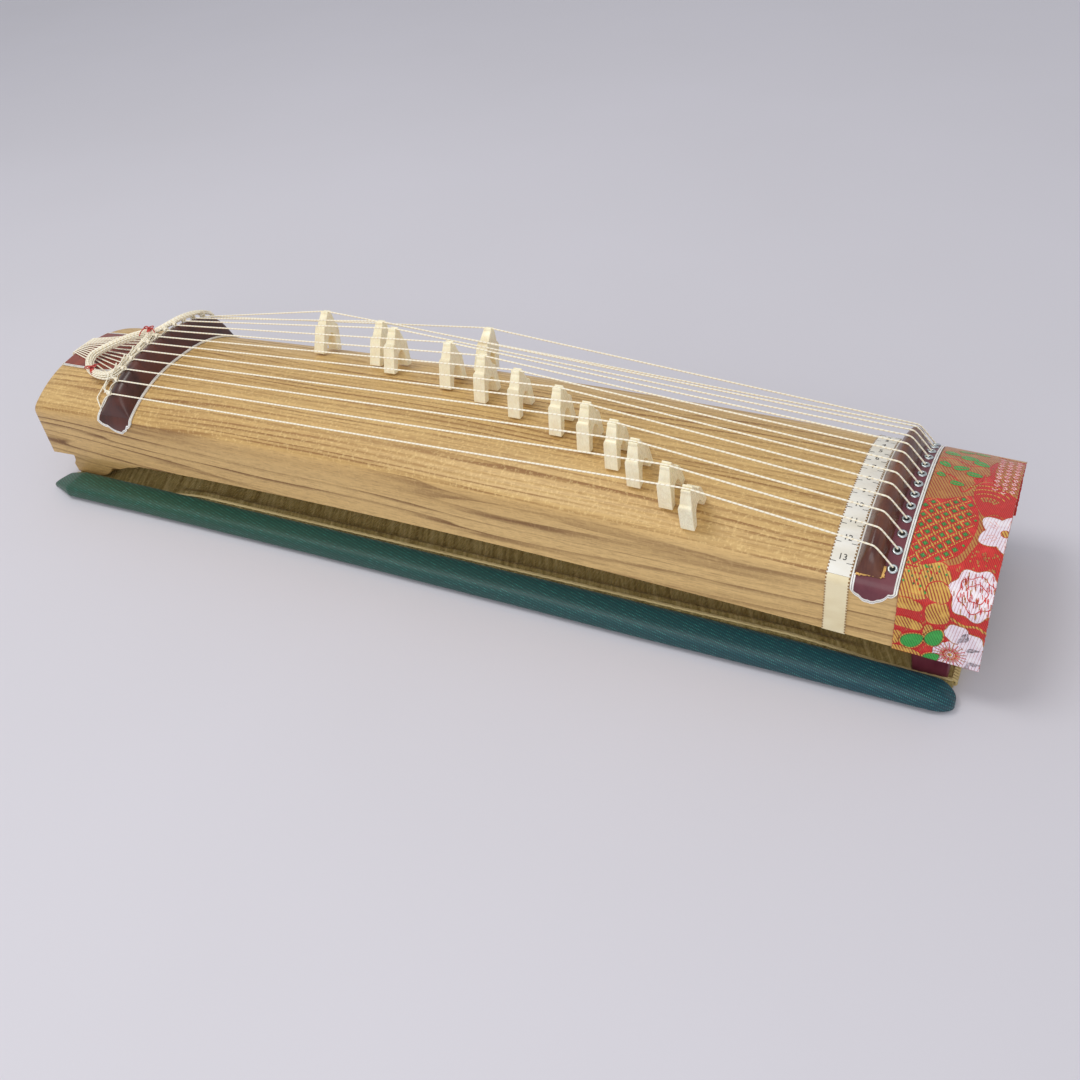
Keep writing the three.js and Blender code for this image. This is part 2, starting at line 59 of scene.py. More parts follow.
CLEAR = 0.3
BODY_HALF = 299
TAIL_HALF_WIDTH = 55
HEAD_HALF_WIDTH = 60
SIDE_HEIGHT = 34.5
ARCH_RISE = 15.5
ARCH_POWER = 2.5
CAMBER = 9
TOP_THICKNESS = 5
BODY_LIFT = 22
FOOT_HEIGHT = 18
MAT = {"tail": -288, "head": 290, "thickness": 4}
RUSH_SLANT = 0.447
RUSH_PITCH = 2.2
RUSH_SAMPLES = 6
MAT_RISE = 5.2
EDGING = {"width": 20, "height": 12, "inner": 54, "tail": -297, "head": 293}
NUMBER_TAPE = {"tail": 227, "head": 238.2, "thickness": 0.3}
HEAD_PLATE = {"tail": 238.7, "head": 260, "thickness": 0.8, "tip": 0.4,
              "drops": (3.6, 7.4, 9.4, 8, 3.4, 1)}
TAIL_PLATE = {"tail": -239, "head": -210, "thickness": 0.8, "tip": 0.6,
              "drops": (1, 4.4, 8, 6.4, 3, 0.5)}
HEAD_SADDLE = {"tail": 239.5, "crest": 245, "head": 252, "height": 11.2, "reach": 56.5}
TAIL_SADDLE = {"tail": -236.5, "crest": -221, "head": -211.5, "height": 14.2, "reach": 53.5}
EYELET_X = 255.5
COVER = {"tail": 260.5, "head": 300.2, "thickness": 0.8}
LEAF = {"tail": -297.5, "thickness": 0.8}
LEAF_LOBES = [(-272, 25), (-260, 26), (-250, 24), (-247, 19.5), (-249, 15), (-252.5, 11.5),
              (-248, 9.5), (-243.5, 6), (-241.5, 0)]
TRIM_WIDTH = 1.7
STRING_COUNT = 13
STRING_DIAMETER = 0.9
TAIL_PITCH = 8.5
HEAD_PITCH = 8.8
HEAD_SHIFT = 1.8
WIDEST_PITCH = 9.75
TAIL_EDGE_PITCH = 1.5
GATHER_HALF = 26.5
GATHER_X = -240  # where the strings' ends turn in towards the hank
GATHER_STEP = 1.4
STRING_END_X = -282
SPEAKING_LENGTHS = [251, 362, 315, 300, 257, 230, 204, 175, 155, 136, 121, 101, 87]
BRIDGE = {"height": 26.6, "thickness": 7.4, "head": 4.9, "ledge": 17.4, "half_base": 9.8, "groove": 1.2}

# ---- the body's surface


def lerp(a, b, share):
    return a + (b - a) * share


def eased(value):
    value = min(max(value, 0), 1)
    return value * value * (3 - 2 * value)


def half_width(x):
    return lerp(TAIL_HALF_WIDTH, HEAD_HALF_WIDTH, (x + BODY_HALF) / (2 * BODY_HALF))


def body_bottom(x):
    return BODY_LIFT + CAMBER * (1 - (x / BODY_HALF) ** 2)


def camber_slope(x):
    return -2 * CAMBER * x / BODY_HALF**2


def arch_height(ratio):
    return ARCH_RISE * (1 - min(abs(ratio), 1) ** ARCH_POWER)


def board_top(x, y):
    return body_bottom(x) + SIDE_HEIGHT + arch_height(y / half_width(x))


def board_slope(x, y):
    ratio = y / half_width(x)
    steepness = ARCH_RISE * ARCH_POWER * abs(ratio) ** (ARCH_POWER - 1)
    return -math.copysign(steepness, ratio) / half_width(x)


class Skin:
    """The outer surface of the widest section, walked from the crest down one side."""

    ROUNDING = 3.6

    def __init__(self):
        half = HEAD_HALF_WIDTH
        turn = 1 - self.ROUNDING / half
        walk = [(half * turn * i / 70, SIDE_HEIGHT + arch_height(turn * i / 70)) for i in range(71)]
        start, corner, end = walk[-1], (half, SIDE_HEIGHT), (half, SIDE_HEIGHT - self.ROUNDING)
        for i in range(1, 9):
            t = i / 8
            walk.append(tuple(
                (1 - t) ** 2 * a + 2 * t * (1 - t) * b + t * t * c for a, b, c in zip(start, corner, end)
            ))
        walk += [(half, end[1] * (1 - i / 12)) for i in range(1, 13)]
        self.walk = walk
        self.along = [0]
        for (y0, z0), (y1, z1) in zip(walk, walk[1:]):
            self.along.append(self.along[-1] + math.hypot(y1 - y0, z1 - z0))
        self.corner = self.along[74]
        self.end = self.along[-1]

    def at(self, x, s, lift=0.0):
        """The place at x and s, lifted off the surface."""
        far = min(abs(s), self.end - 1e-6)
        i = min(bisect.bisect_right(self.along, far), len(self.walk) - 1)
        share = (far - self.along[i - 1]) / (self.along[i] - self.along[i - 1])
        (y0, z0), (y1, z1) = self.walk[i - 1], self.walk[i]
        run = math.hypot(y1 - y0, z1 - z0)
        y = lerp(y0, y1, share) * half_width(x) / HEAD_HALF_WIDTH - (z1 - z0) / run * lift
        z = lerp(z0, z1, share) + (y1 - y0) / run * lift
        return Vector((x, -math.copysign(y, s), z + body_bottom(x)))

    def across(self, y, x=0):
        """How far from the crest a place on the board is, for its y."""
        target = min(abs(y) / half_width(x) * HEAD_HALF_WIDTH, HEAD_HALF_WIDTH * 0.99)
        i = next(i for i, (side, _) in enumerate(self.walk) if side >= target)
        i = max(i, 1)
        share = (target - self.walk[i - 1][0]) / (self.walk[i][0] - self.walk[i - 1][0])
        return -math.copysign(lerp(self.along[i - 1], self.along[i], share), y)


skin = Skin()

# ---- meshes


def place_in_scene(name, data):
    obj = bpy.data.objects.new(name, data)
    bpy.context.scene.collection.objects.link(obj)
    return obj


def pairs(loop):
    """Each member of a closed loop with the next."""
    return zip(loop, [*loop[1:], *loop[:1]])


def turns(count):
    """Angles once round."""
    return [2 * math.pi * i / count for i in range(count)]


def spread(low, high, count):
    return [lerp(low, high, i / (count - 1)) for i in range(count)]


def quadratic(start, control, end, t):
    """A point on a curve that leaves start towards control and comes to end from it."""
    return Vector(start) * (1 - t) ** 2 + Vector(control) * 2 * t * (1 - t) + Vector(end) * t * t


def heading_at(line, i):
    return (line[min(i + 1, len(line) - 1)] - line[max(i - 1, 0)]).normalized()


class Shape:
    """Closed parts gathered into one object, each face with the number of its material."""

    def __init__(self):
        self.points, self.faces, self.marks, self.uvs = [], [], [], []

    def add(self, points, faces, mark=0, uvs=None):
        first = len(self.points)
        self.points += [Vector(p) for p in points]
        self.faces += [[first + i for i in face] for face in faces]
        self.marks += [mark] * len(faces)
        self.uvs += uvs or [None] * len(faces)
        return self

    def slab(self, top, bottom, mark=0, flat=None):
        """A solid between two grids of the same size. flat gives the uv of each grid point."""
        rows, columns = len(top), len(top[0])
        size = rows * columns
        faces, uvs = [], []
        for i in range(rows - 1):
            for j in range(columns - 1):
                a, b = i * columns + j, (i + 1) * columns + j
                faces.append((a, a + 1, b + 1, b))
                faces.append((size + b, size + b + 1, size + a + 1, size + a))
                if flat:
                    near, far = flat[i][j:j + 2], flat[i + 1][j:j + 2]
                    uvs += [(near[0], near[1], far[1], far[0]), (far[0], far[1], near[1], near[0])]
        edge = list(range(columns)) + [i * columns + columns - 1 for i in range(1, rows)]
        edge += [(rows - 1) * columns + j for j in range(columns - 2, -1, -1)]
        edge += [i * columns for i in range(rows - 2, 0, -1)]
        rim = [(b, a, size + a, size + b) for a, b in pairs(edge)]
        points = [p for row in top + bottom for p in row]
        return self.add(points, faces + rim, mark, uvs + [None] * len(rim) if flat else None)

    def prism(self, near, far, mark=0):
        """A solid between two outlines with the same number of points."""
        count = len(near)
        faces = [tuple(range(count)), tuple(reversed(range(count, 2 * count)))]
        faces += [(a, b, count + b, count + a) for a, b in pairs(range(count))]
        return self.add(near + far, faces, mark)

    def loft(self, rings, mark=0, uvs=None):
        """A solid through rings of points, closed at both ends."""
        count, last = len(rings[0]), (len(rings) - 1) * len(rings[0])
        faces = [(i + a, i + b, i + b + count, i + a + count)
                 for i in range(0, last, count) for a, b in pairs(range(count))]
        faces += [tuple(reversed(range(count))), tuple(range(last, last + count))]
        return self.add([p for ring in rings for p in ring], faces, mark, uvs and uvs + [None, None])

    def patch(self, outline, low, high, mark=0, step=2.5, place=skin.at):
        """A thin solid on the skin with an outline of (x, s) points."""
        flat = bmesh.new()
        face = flat.faces.new([flat.verts.new((x, s, 0)) for x, s in outline])
        bmesh.ops.triangulate(flat, faces=[face])
        level, last = min(s for _, s in outline) + step, max(s for _, s in outline)
        while level < last - 0.1:
            everything = flat.verts[:] + flat.edges[:] + flat.faces[:]
            bmesh.ops.bisect_plane(flat, geom=everything, plane_co=(0, level, 0), plane_no=(0, 1, 0))
            level += step
        flat.verts.index_update()
        size = len(flat.verts)
        spots = [(v.co.x, v.co.y) for v in flat.verts]
        points = [place(x, s, high) for x, s in spots] + [place(x, s, low) for x, s in spots]
        faces = [[v.index for v in f.verts] for f in flat.faces]
        uvs = [[spots[i] for i in face] for face in faces]
        uvs += [uv[::-1] for uv in uvs]
        faces += [[size + i for i in reversed(face)] for face in faces]
        for edge in flat.edges:
            if edge.is_boundary:
                a, b = (v.index for v in edge.verts)
                faces.append((a, b, size + b, size + a))
                uvs.append((spots[a], spots[b], spots[b], spots[a]))
        flat.free()
        return self.add(points, faces, mark, uvs)

    def tube(self, path, radius, sides=10, mark=0):
        """A round tube with closed ends. Its uv is (length in mm, share of the turn)."""
        path = [Vector(p) for p in path]
        across, rings, uvs, length = None, [], [], 0
        for i, p in enumerate(path):
            way = heading_at(path, i)
            across = across or way.orthogonal().normalized()
            across = (across - way * across.dot(way)).normalized()
            other = way.cross(across)
            rings.append([p + (across * math.cos(turn) + other * math.sin(turn)) * radius
                          for turn in turns(sides)])
            if i:
                before, length = length, length + (p - path[i - 1]).length
                for k in range(sides):
                    low, high = k / sides, (k + 1) / sides
                    uvs.append(((before, low), (before, high), (length, high), (length, low)))
        return self.loft(rings, mark, uvs)

    def lathe(self, profile, place, sides=24, mark=0):
        """A ring from a closed profile of (radius, height), set by a matrix."""
        points = [place @ Vector((radius * math.cos(turn), radius * math.sin(turn), height))
                  for turn in turns(sides) for radius, height in profile]
        count = len(profile)
        faces = [(near * count + a, near * count + b, far * count + b, far * count + a)
                 for near, far in pairs(range(sides)) for a, b in pairs(range(count))]
        return self.add(points, faces, mark)

    def build(self, name, materials, body, replaces=(), slot=None, sharp=40):
        """Makes the object, rides it on its body and lets it stand for its CAD nodes."""
        mesh = bpy.data.meshes.new(name)
        mesh.from_pydata([p * MM for p in self.points], [], self.faces)
        mesh.polygons.foreach_set("material_index", self.marks)
        if any(self.uvs):
            layer = mesh.uv_layers.new(name="flat")
            for polygon, uv in zip(mesh.polygons, self.uvs):
                for k, loop in enumerate(polygon.loop_indices):
                    layer.data[loop].uv = uv[k] if uv else (0, 0)
        whole = bmesh.new()
        whole.from_mesh(mesh)
        bmesh.ops.recalc_face_normals(whole, faces=whole.faces)
        whole.to_mesh(mesh)
        whole.free()
        obj = place_in_scene(name, mesh)
        for material in materials:
            mesh.materials.append(material)
        mesh.polygons.foreach_set("use_smooth", [True] * len(mesh.polygons))
        mesh.set_sharp_from_angle(angle=math.radians(sharp))
        if body:
            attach(obj, body)
        if replaces:
            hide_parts(*replaces)
        return obj


def rounded(route, radius=1.6, steps=4):
    """The route with each corner turned into a short curve."""
    route = [Vector(p) for p in route]
    made = [route[0]]
    for before, corner, after in zip(route, route[1:], route[2:]):
        back, on = before - corner, after - corner
        start = corner + back.normalized() * min(radius, back.length * 0.45)
        end = corner + on.normalized() * min(radius, on.length * 0.45)
        made += [quadratic(start, corner, end, t) for t in spread(0, 1, steps + 1)]
    return made + [route[-1]]


def smooth_line(points, count, closed=False):
    """A Catmull-Rom line through the points."""
    points = [Vector(p) for p in points]
    spans = len(points) if closed else len(points) - 1
    made = []
    for i in range(count):
        place = i / (count if closed else count - 1) * spans
        k = min(int(place), spans - 1)
        t = place - k
        places = (k - 1, k, k + 1, k + 2)
        a, b, c, d = (points[j % spans if closed else min(max(j, 0), spans)] for j in places)
        made.append((b * 2 + (c - a) * t + (a * 2 - b * 5 + c * 4 - d) * t**2
                     + (b * 3 - a - c * 3 + d) * t**3) * 0.5)
    return made


# ---- materials


def srgb(red, green, blue):
    def linear(value):
        value /= 255
        return value / 12.92 if value <= 0.04045 else ((value + 0.055) / 1.055) ** 2.4
    return (linear(red), linear(green), linear(blue), 1)


def brighter(colour, gain, offset=0.0):
    return tuple(min(1, c * gain + offset) for c in colour[:3]) + (1,)


WAVE_PERIOD = 2 * math.pi / 20  # a wave texture's period at scale 1


class Recipe:
    """A node material, written as a chain of short calls."""

    def __init__(self, name, roughness=0.5, metallic=0.0, **extras):
        self.material = bpy.data.materials.new(name)
        self.material.use_nodes = True
        self.tree = self.material.node_tree
        self.shader = self.tree.nodes["Principled BSDF"]
        for socket, value in {"Roughness": roughness, "Metallic": metallic, **extras}.items():
            self.shader.inputs[socket.replace("_", " ")].default_value = value
        self.place = self.new("TexCoord").outputs["Object"]

    def new(self, kind, inputs=None, **settings):
        """A node with its settings, and the links or values of its inputs."""
        node = self.tree.nodes.new(f"ShaderNode{kind}")
        for name, value in settings.items():
            setattr(node, name, value)
        for socket, value in (inputs or {}).items():
            self.link(value, node.inputs[socket])
        return node

    def link(self, value, socket):
        if isinstance(value, bpy.types.NodeSocket):
            self.tree.links.new(value, socket)
        else:
            socket.default_value = value

    def scaled(self, scale, turn=(0, 0, 0), place=None):
        """Coordinates in units of 1 / scale metre, turned after they are scaled."""
        inputs = {"Vector": place or self.place, "Rotation": turn, "Scale": scale}
        return self.new("Mapping", inputs).outputs["Vector"]

    def uv(self, scale, turn=0.0):
        return self.scaled(scale, (0, 0, turn), self.new("UVMap", uv_map="flat").outputs["UV"])

    def noise(self, place, detail=2.0, roughness=0.5, distortion=0.0):
        """Noise at a place, or in the object's space where place is a scale."""
        place = self.scaled(place) if isinstance(place, tuple) else place
        inputs = {"Vector": place, "Scale": 1, "Detail": detail, "Roughness": roughness,
                  "Distortion": distortion}
        return self.new("TexNoise", inputs).outputs["Fac"]

    def cells(self, scale):
        return self.new("TexVoronoi", {"Vector": self.scaled(scale), "Scale": 1}).outputs["Distance"]

    def waves(self, place, direction="X", distortion=0.0):
        return self.new("TexWave", {"Vector": place, "Scale": 1, "Distortion": distortion},
                        bands_direction=direction).outputs["Fac"]

    def axis(self, name):
        return self.new("SeparateXYZ", {0: self.place}).outputs[name]

    def math(self, operation, a, b=0.0, clamp=False):
        return self.new("Math", {0: a, 1: b}, operation=operation, use_clamp=clamp).outputs[0]

    def product(self, a, b):
        return self.math("MULTIPLY", a, b)

    def total(self, a, b):
        return self.math("ADD", a, b)

    def ramp(self, value, *stops):
        """stops are (place, colour or grey level) pairs."""
        node = self.new("ValToRGB", {"Fac": value})
        elements = node.color_ramp.elements
        while len(elements) < len(stops):
            elements.new(0.5)
        for element, (place, colour) in zip(elements, stops):
            element.position = place
            element.color = colour if isinstance(colour, tuple) else (colour, colour, colour, 1)
        return node.outputs["Color"]

    def mix(self, share, a, b):
        return self.new("Mix", {0: share, 6: a, 7: b}, data_type="RGBA").outputs[2]

    def over(self, under, upper, value, start, end, share=None):
        """upper laid over under, by how far value has gone from start to end."""
        cover = self.ramp(value, *sorted(((start, 0.0), (end, 1.0))))
        return self.mix(cover if share is None else self.product(cover, share), under, upper)

    def bump(self, height, depth_mm, strength=0.6):
        normal = self.shader.inputs["Normal"]
        node = self.new("Bump", {"Height": height, "Strength": strength, "Distance": depth_mm * MM})
        if normal.is_linked:
            self.link(normal.links[0].from_socket, node.inputs["Normal"])
        self.link(node.outputs["Normal"], normal)
        return self

    def done(self, colour, roughness=None):
        self.link(colour, self.shader.inputs["Base Color"])
        if roughness is not None:
            self.link(roughness, self.shader.inputs["Roughness"])
        return self.material


def wood(name, light, dark, line, spacing, core, depth, fleck_and_sheen_share, streak):
    """Paulownia: parallel growth lines along X, each sharp on one side, with streaks and light flecks
    that are partly the wood's figure and partly a painted sheen.
    """
    r = Recipe(name, roughness=0.45)
    across = r.product(r.axis("Y"), 1 / (spacing[0] * MM))
    down = r.product(r.axis("Z"), 1 / (spacing[1] * MM))
    sway = r.product(r.noise((4, 9, 9), 1), 5)
    uneven = r.product(r.noise((1.4, 70, 70), 2), 3.4)
    ring = r.math("FRACT", r.total(r.total(across, down), r.total(sway, uneven)))
    rise = 0.97 - core
    growth = r.ramp(ring, (0.0, 0.0), (rise * 0.75, 0.06), (rise, 0.8), (0.96, 1.0), (1.0, 0.0))
    broken = r.ramp(r.noise((20, 380, 380), 2), (0.36, 0.45), (0.5, 1.0))
    fading = r.ramp(r.noise((5, 120, 120), 1), (0.38, 0.25), (0.62, 1.0))
    streaks = r.noise((7, 430, 430), 3, 0.6)
    pores = r.ramp(r.noise((130, 1500, 1500), 2, 0.6), (0.34, 1.0), (0.5, 0.0))
    coloured = r.over(dark, light, r.noise((2.2, 38, 38), 2), 0.35, 0.7)
    coloured = r.over(coloured, line, streaks, 0.46, 0.68, streak)
    coloured = r.mix(r.product(r.product(growth, broken), r.product(fading, depth)), coloured, line)
    coloured = r.mix(r.product(pores, 0.3), coloured, line)
    # light flecks across the grain: partly the paulownia's figure, partly a painted sheen of short
    # highlights
    figure_and_sheen_flecks = r.noise((620, 520, 520), 2, 0.6)
    coloured = r.over(coloured, brighter(light, 1.35, 0.05), figure_and_sheen_flecks, 0.52, 0.68, fleck_and_sheen_share)
    r.bump(pores, 0.08, 0.3).bump(growth, 0.08, 0.3)
    return r.done(coloured, r.ramp(growth, (0.0, 0.42), (1.0, 0.58)))


def end_grain(name, light, dark):
    """Wood cut across: rings and pores."""
    r = Recipe(name, roughness=0.7)
    rings = r.waves(r.scaled((1, 90, 150)), "Z", distortion=3)
    pores = r.cells((900, 900, 900))
    coloured = r.mix(r.ramp(rings, (0.3, 0.0), (0.9, 0.8)), light, dark)
    coloured = r.mix(r.ramp(pores, (0.0, 0.5), (0.3, 0.0)), coloured, dark)
    return r.bump(pores, 0.1, 0.4).done(coloured)


def lacquer(name, deep, lit, gloss):
    """Glossy dark plate with a cloudy brown figure."""
    r = Recipe(name, roughness=gloss, Coat_Weight=0.15, Coat_Roughness=0.12)
    cloud = r.noise((60, 45, 45), 3, 0.6, 0.6)
    grain = r.noise((900, 90, 90), 2)
    coloured = r.over(r.over(deep, lit, cloud, 0.35, 0.72), lit, grain, 0.4, 0.7, 0.25)
    return r.bump(grain, 0.03, 0.2).done(coloured, r.ramp(cloud, (0.3, gloss), (0.8, gloss + 0.14)))


def moulded(name, colour, shade, roughness):
    """Smooth plastic with faint clouding, scuffs and soft light under its surface."""
    r = Recipe(name, roughness=roughness, Subsurface_Weight=0.12, Subsurface_Scale=0.002,
               Subsurface_Radius=(1, 0.8, 0.5))
    cloud = r.noise((220, 220, 160), 3)
    scuff = r.noise((1500, 1500, 500), 2)
    r.bump(scuff, 0.03, 0.25).bump(cloud, 0.15, 0.2)
    return r.done(r.over(shade, colour, cloud, 0.35, 0.7),
                  r.ramp(scuff, (0.3, roughness - 0.08), (0.7, roughness + 0.12)))


def twisted(name, colour, shade, pitch):
    """Twisted cord: the strands wind round it as its uv says."""
    r = Recipe(name, roughness=0.55, Sheen_Weight=0.2)
    strands = r.waves(r.uv((WAVE_PERIOD / pitch, WAVE_PERIOD, 1)), "DIAGONAL")
    lint = r.noise((1400, 1400, 1400), 2)
    coloured = r.mix(r.product(lint, 0.15), r.over(shade, colour, strands, 0.0, 0.5), shade)
    return r.bump(strands, 0.05, 0.35).done(coloured)


def paper(name, colour, stain, roughness=0.8):
    """Pulp with age stains."""
    r = Recipe(name, roughness=roughness)
    pulp = r.noise((1200, 1200, 1200), 3)
    age = r.noise((40, 90, 90), 3)
    coloured = r.mix(r.product(pulp, 0.12), r.over(colour, stain, age, 0.45, 0.75, 0.5), stain)
    return r.bump(pulp, 0.06, 0.4).bump(age, 0.3, 0.15).done(coloured)


def woven(name, colour, shade, pitch=1.35, lean=0.5, dark=0.4, depth=0.14):
    """Brocade weft: slanting floats side by side, with the ground showing between them."""
    r = Recipe(name, roughness=0.48, Sheen_Weight=0.2)
    period = WAVE_PERIOD / pitch
    floats = r.waves(r.uv((period, period, 1), lean), distortion=0.35)
    threads = r.noise(r.uv((2.6, 0.9, 1), lean), 2)
    tone = r.noise(r.uv((0.17, 0.17, 1)), 2)
    coloured = r.over(shade, colour, floats, dark - 0.22, dark)
    coloured = r.over(coloured, shade, threads, 0.45, 0.7, 0.3)
    coloured = r.over(coloured, brighter(colour, 1.25, 0.02), tone, 0.5, 0.75, 0.6)
    return r.bump(floats, depth, 0.7).bump(threads, 0.05, 0.4).done(coloured)


def metal(name, colour, roughness=0.28):
    """Bare metal, duller where it is worn."""
    r = Recipe(name, roughness=roughness, metallic=1.0)
    wear = r.noise((900, 900, 900), 3)
    coloured = r.over(colour, brighter(colour, 0.72), wear, 0.4, 0.7)
    return r.bump(wear, 0.02, 0.3).done(coloured, r.ramp(wear, (0.3, roughness), (0.7, roughness + 0.15)))


def rush_weave(name):
    """Flattened rush stems across the mat, each with its own tone, bound by fine warp lines."""
    r = Recipe(name, roughness=0.65)
    slanted = r.scaled((1, 1, 1), (0, 0, -RUSH_SLANT))
    stems = r.noise(r.scaled((430, 14, 14), place=slanted), 1)
    fibre = r.noise(r.scaled((2600, 160, 900), place=slanted), 2)
    ticks = r.noise((900, 380, 380), 2)
    tones = (srgb(160, 138, 78), srgb(194, 172, 108), srgb(222, 202, 140))
    coloured = r.ramp(stems, *zip((0.3, 0.5, 0.7), tones))
    gaps = r.ramp(fibre, (0.4, 1.0), (0.65, 0.0))
    coloured = r.mix(r.product(gaps, 0.3), coloured, srgb(96, 82, 40))
    coloured = r.over(coloured, srgb(224, 204, 146), ticks, 0.5, 0.65, 0.4)
    return r.bump(fibre, 0.12, 0.5).bump(ticks, 0.15, 0.4).done(coloured)


def ribbed_cloth(name):
    """Green edging cloth: a fine mesh of knots, some of them with painted glints, greener at the tail,
    teal at the head.
    """
    r = Recipe(name, roughness=0.5, Sheen_Weight=0.1, Sheen_Roughness=0.35)
    period = WAVE_PERIOD / MM
    ribs = r.waves(r.scaled((period / 0.9, 0, 0)), distortion=0.2)
    cross = r.waves(r.scaled((period / 3.2, period, period)), "DIAGONAL", distortion=0.2)
    knots = r.product(ribs, cross)
    tone = r.noise((14, 60, 60), 3)
    glints = r.noise((260, 900, 900), 2)
    share = r.math("ADD", r.product(r.axis("X"), 2.2), 0.45, clamp=True)
    base = r.mix(share, srgb(36, 92, 68), srgb(14, 84, 94))
    dark = r.mix(share, srgb(22, 64, 48), srgb(8, 54, 66))
    coloured = r.over(r.over(dark, base, knots, 0.1, 0.6), dark, tone, 0.42, 0.75, 0.35)
    # painted glints: a bright teal highlight painted on scattered knots
    painted_glints = r.product(r.ramp(glints, (0.5, 0.0), (0.64, 1.0)), r.ramp(knots, (0.45, 0.0), (0.8, 1.0)))
    coloured = r.mix(r.product(painted_glints, 0.6), coloured, srgb(70, 160, 150))
    return r.bump(knots, 0.12, 0.6).done(coloured)


# the light flecks are partly painted sheen, laid more strongly on the top than on the sides
WOOD_TOP = wood("paulownia top", srgb(226, 192, 129), srgb(205, 168, 105), srgb(136, 92, 44),
                spacing=(4.1, 11), core=0.25, depth=0.9, fleck_and_sheen_share=0.3, streak=0.3)
WOOD_SIDE = wood("paulownia side", srgb(223, 188, 127), srgb(207, 170, 109), srgb(116, 78, 40),
                 spacing=(11, 8.5), core=0.12, depth=1.0, fleck_and_sheen_share=0.12, streak=0.2)
WOOD_END = end_grain("paulownia end grain", srgb(204, 172, 122), srgb(150, 112, 68))
LACQUER = lacquer("dark lacquer plate", srgb(52, 20, 12), srgb(92, 42, 28), 0.36)
PLUM = lacquer("plum lacquer", srgb(92, 34, 48), srgb(116, 54, 64), 0.34)
MOTTLED = lacquer("mottled brown ridge", srgb(74, 34, 28), srgb(122, 72, 46), 0.3)
LEAF_RED = lacquer("leaf lacquer", srgb(104, 34, 26), srgb(150, 66, 42), 0.3)
WHITE_LINE = moulded("white edge line", srgb(250, 248, 242), srgb(228, 225, 216), 0.4)
DARK_LINE = moulded("dark edge line", srgb(70, 60, 62), srgb(44, 38, 40), 0.4)
IVORY = moulded("ivory plastic", srgb(255, 247, 218), srgb(244, 232, 198), 0.26)
# a near-black disc in each eyelet: painted shade where the hole would be
SHADOW = moulded("painted eyelet hole shade", srgb(22, 20, 20), srgb(12, 11, 11), 0.7)
CREAM_STRING = twisted("cream string", srgb(255, 250, 232), srgb(240, 226, 194), 1.3)
RED_THREAD = twisted("red thread", srgb(204, 62, 50), srgb(140, 26, 26), 1.6)
TAPE_PAPER = paper("number paper", srgb(242, 241, 234), srgb(220, 210, 184))
TAPE_CREAM = paper("cream tape", srgb(240, 228, 192), srgb(206, 182, 128), 0.7)
TAPE_EDGE = paper("scorched tape edge", srgb(150, 112, 66), srgb(96, 66, 38))
PRINT = paper("printing ink", srgb(52, 50, 48), srgb(34, 32, 32), 0.6)
STRAW = paper("straw selvage", srgb(214, 194, 140), srgb(170, 146, 92))
SILVER = metal("eyelet metal", srgb(206, 214, 216))
GILT = metal("torn gilt edge", srgb(222, 180, 112), 0.5)
RUSH = rush_weave("woven rush")
GREEN_CLOTH = ribbed_cloth("ribbed green cloth")
RED_WEFT = woven("red weft", srgb(208, 34, 24), srgb(160, 20, 16), pitch=0.9, depth=0.08)
GOLD_WEFT = woven("gold weft", srgb(214, 172, 74), srgb(150, 58, 26), dark=0.5)
OLD_GOLD_WEFT = woven("old gold weft", srgb(184, 132, 58), srgb(156, 52, 30), dark=0.45)
GREEN_WEFT = woven("green weft", srgb(52, 168, 66), srgb(30, 112, 44), pitch=1.2, dark=0.25)
OLIVE_WEFT = woven("olive weft", srgb(92, 112, 48), srgb(60, 70, 28), pitch=1.0, dark=0.3)
WHITE_WEFT = woven("white weft", srgb(238, 228, 240), srgb(196, 150, 152), lean=-0.15, dark=0.22)
PINK_WEFT = woven("pink weft", srgb(240, 204, 200), srgb(204, 96, 84), pitch=1.1, dark=0.3)

# ---- camera, light and floor

SENSOR = 36
LENS = 36.651
CAMERA = {"place": (308.687, -449.817, 410.561), "yaw": 0.5375, "pitch": -0.6805, "roll": -0.1428}
FLOOR_REACH = 4
FLOOR_DROP = 0.0002


def make_camera():
    yaw, pitch, roll = CAMERA["yaw"], CAMERA["pitch"], CAMERA["roll"]
    ahead = Vector((-math.sin(yaw) * math.cos(pitch), math.cos(yaw) * math.cos(pitch), math.sin(pitch)))
    level = Vector((math.cos(yaw), math.sin(yaw), 0))
    upright = level.cross(ahead)
    right = level * math.cos(roll) + upright * math.sin(roll)
    up = upright * math.cos(roll) - level * math.sin(roll)
    data = bpy.data.cameras.new("camera")
    data.sensor_width, data.lens, data.clip_start = SENSOR, LENS, 0.01
    camera = place_in_scene("camera", data)
    turn = Matrix((right, up, -ahead)).transposed().to_4x4()
    camera.matrix_world = Matrix.Translation(Vector(CAMERA["place"]) * MM) @ turn
    bpy.context.scene.camera = camera


def make_light(name, place, target, size, power, colour):
    data = bpy.data.lights.new(name, "AREA")
    data.shape, data.size, data.energy, data.color = "DISK", size, power, colour
    light = place_in_scene(name, data)
    light.location = place
    light.rotation_euler = (Vector(target) - Vector(place)).to_track_quat("-Z", "Y").to_euler()


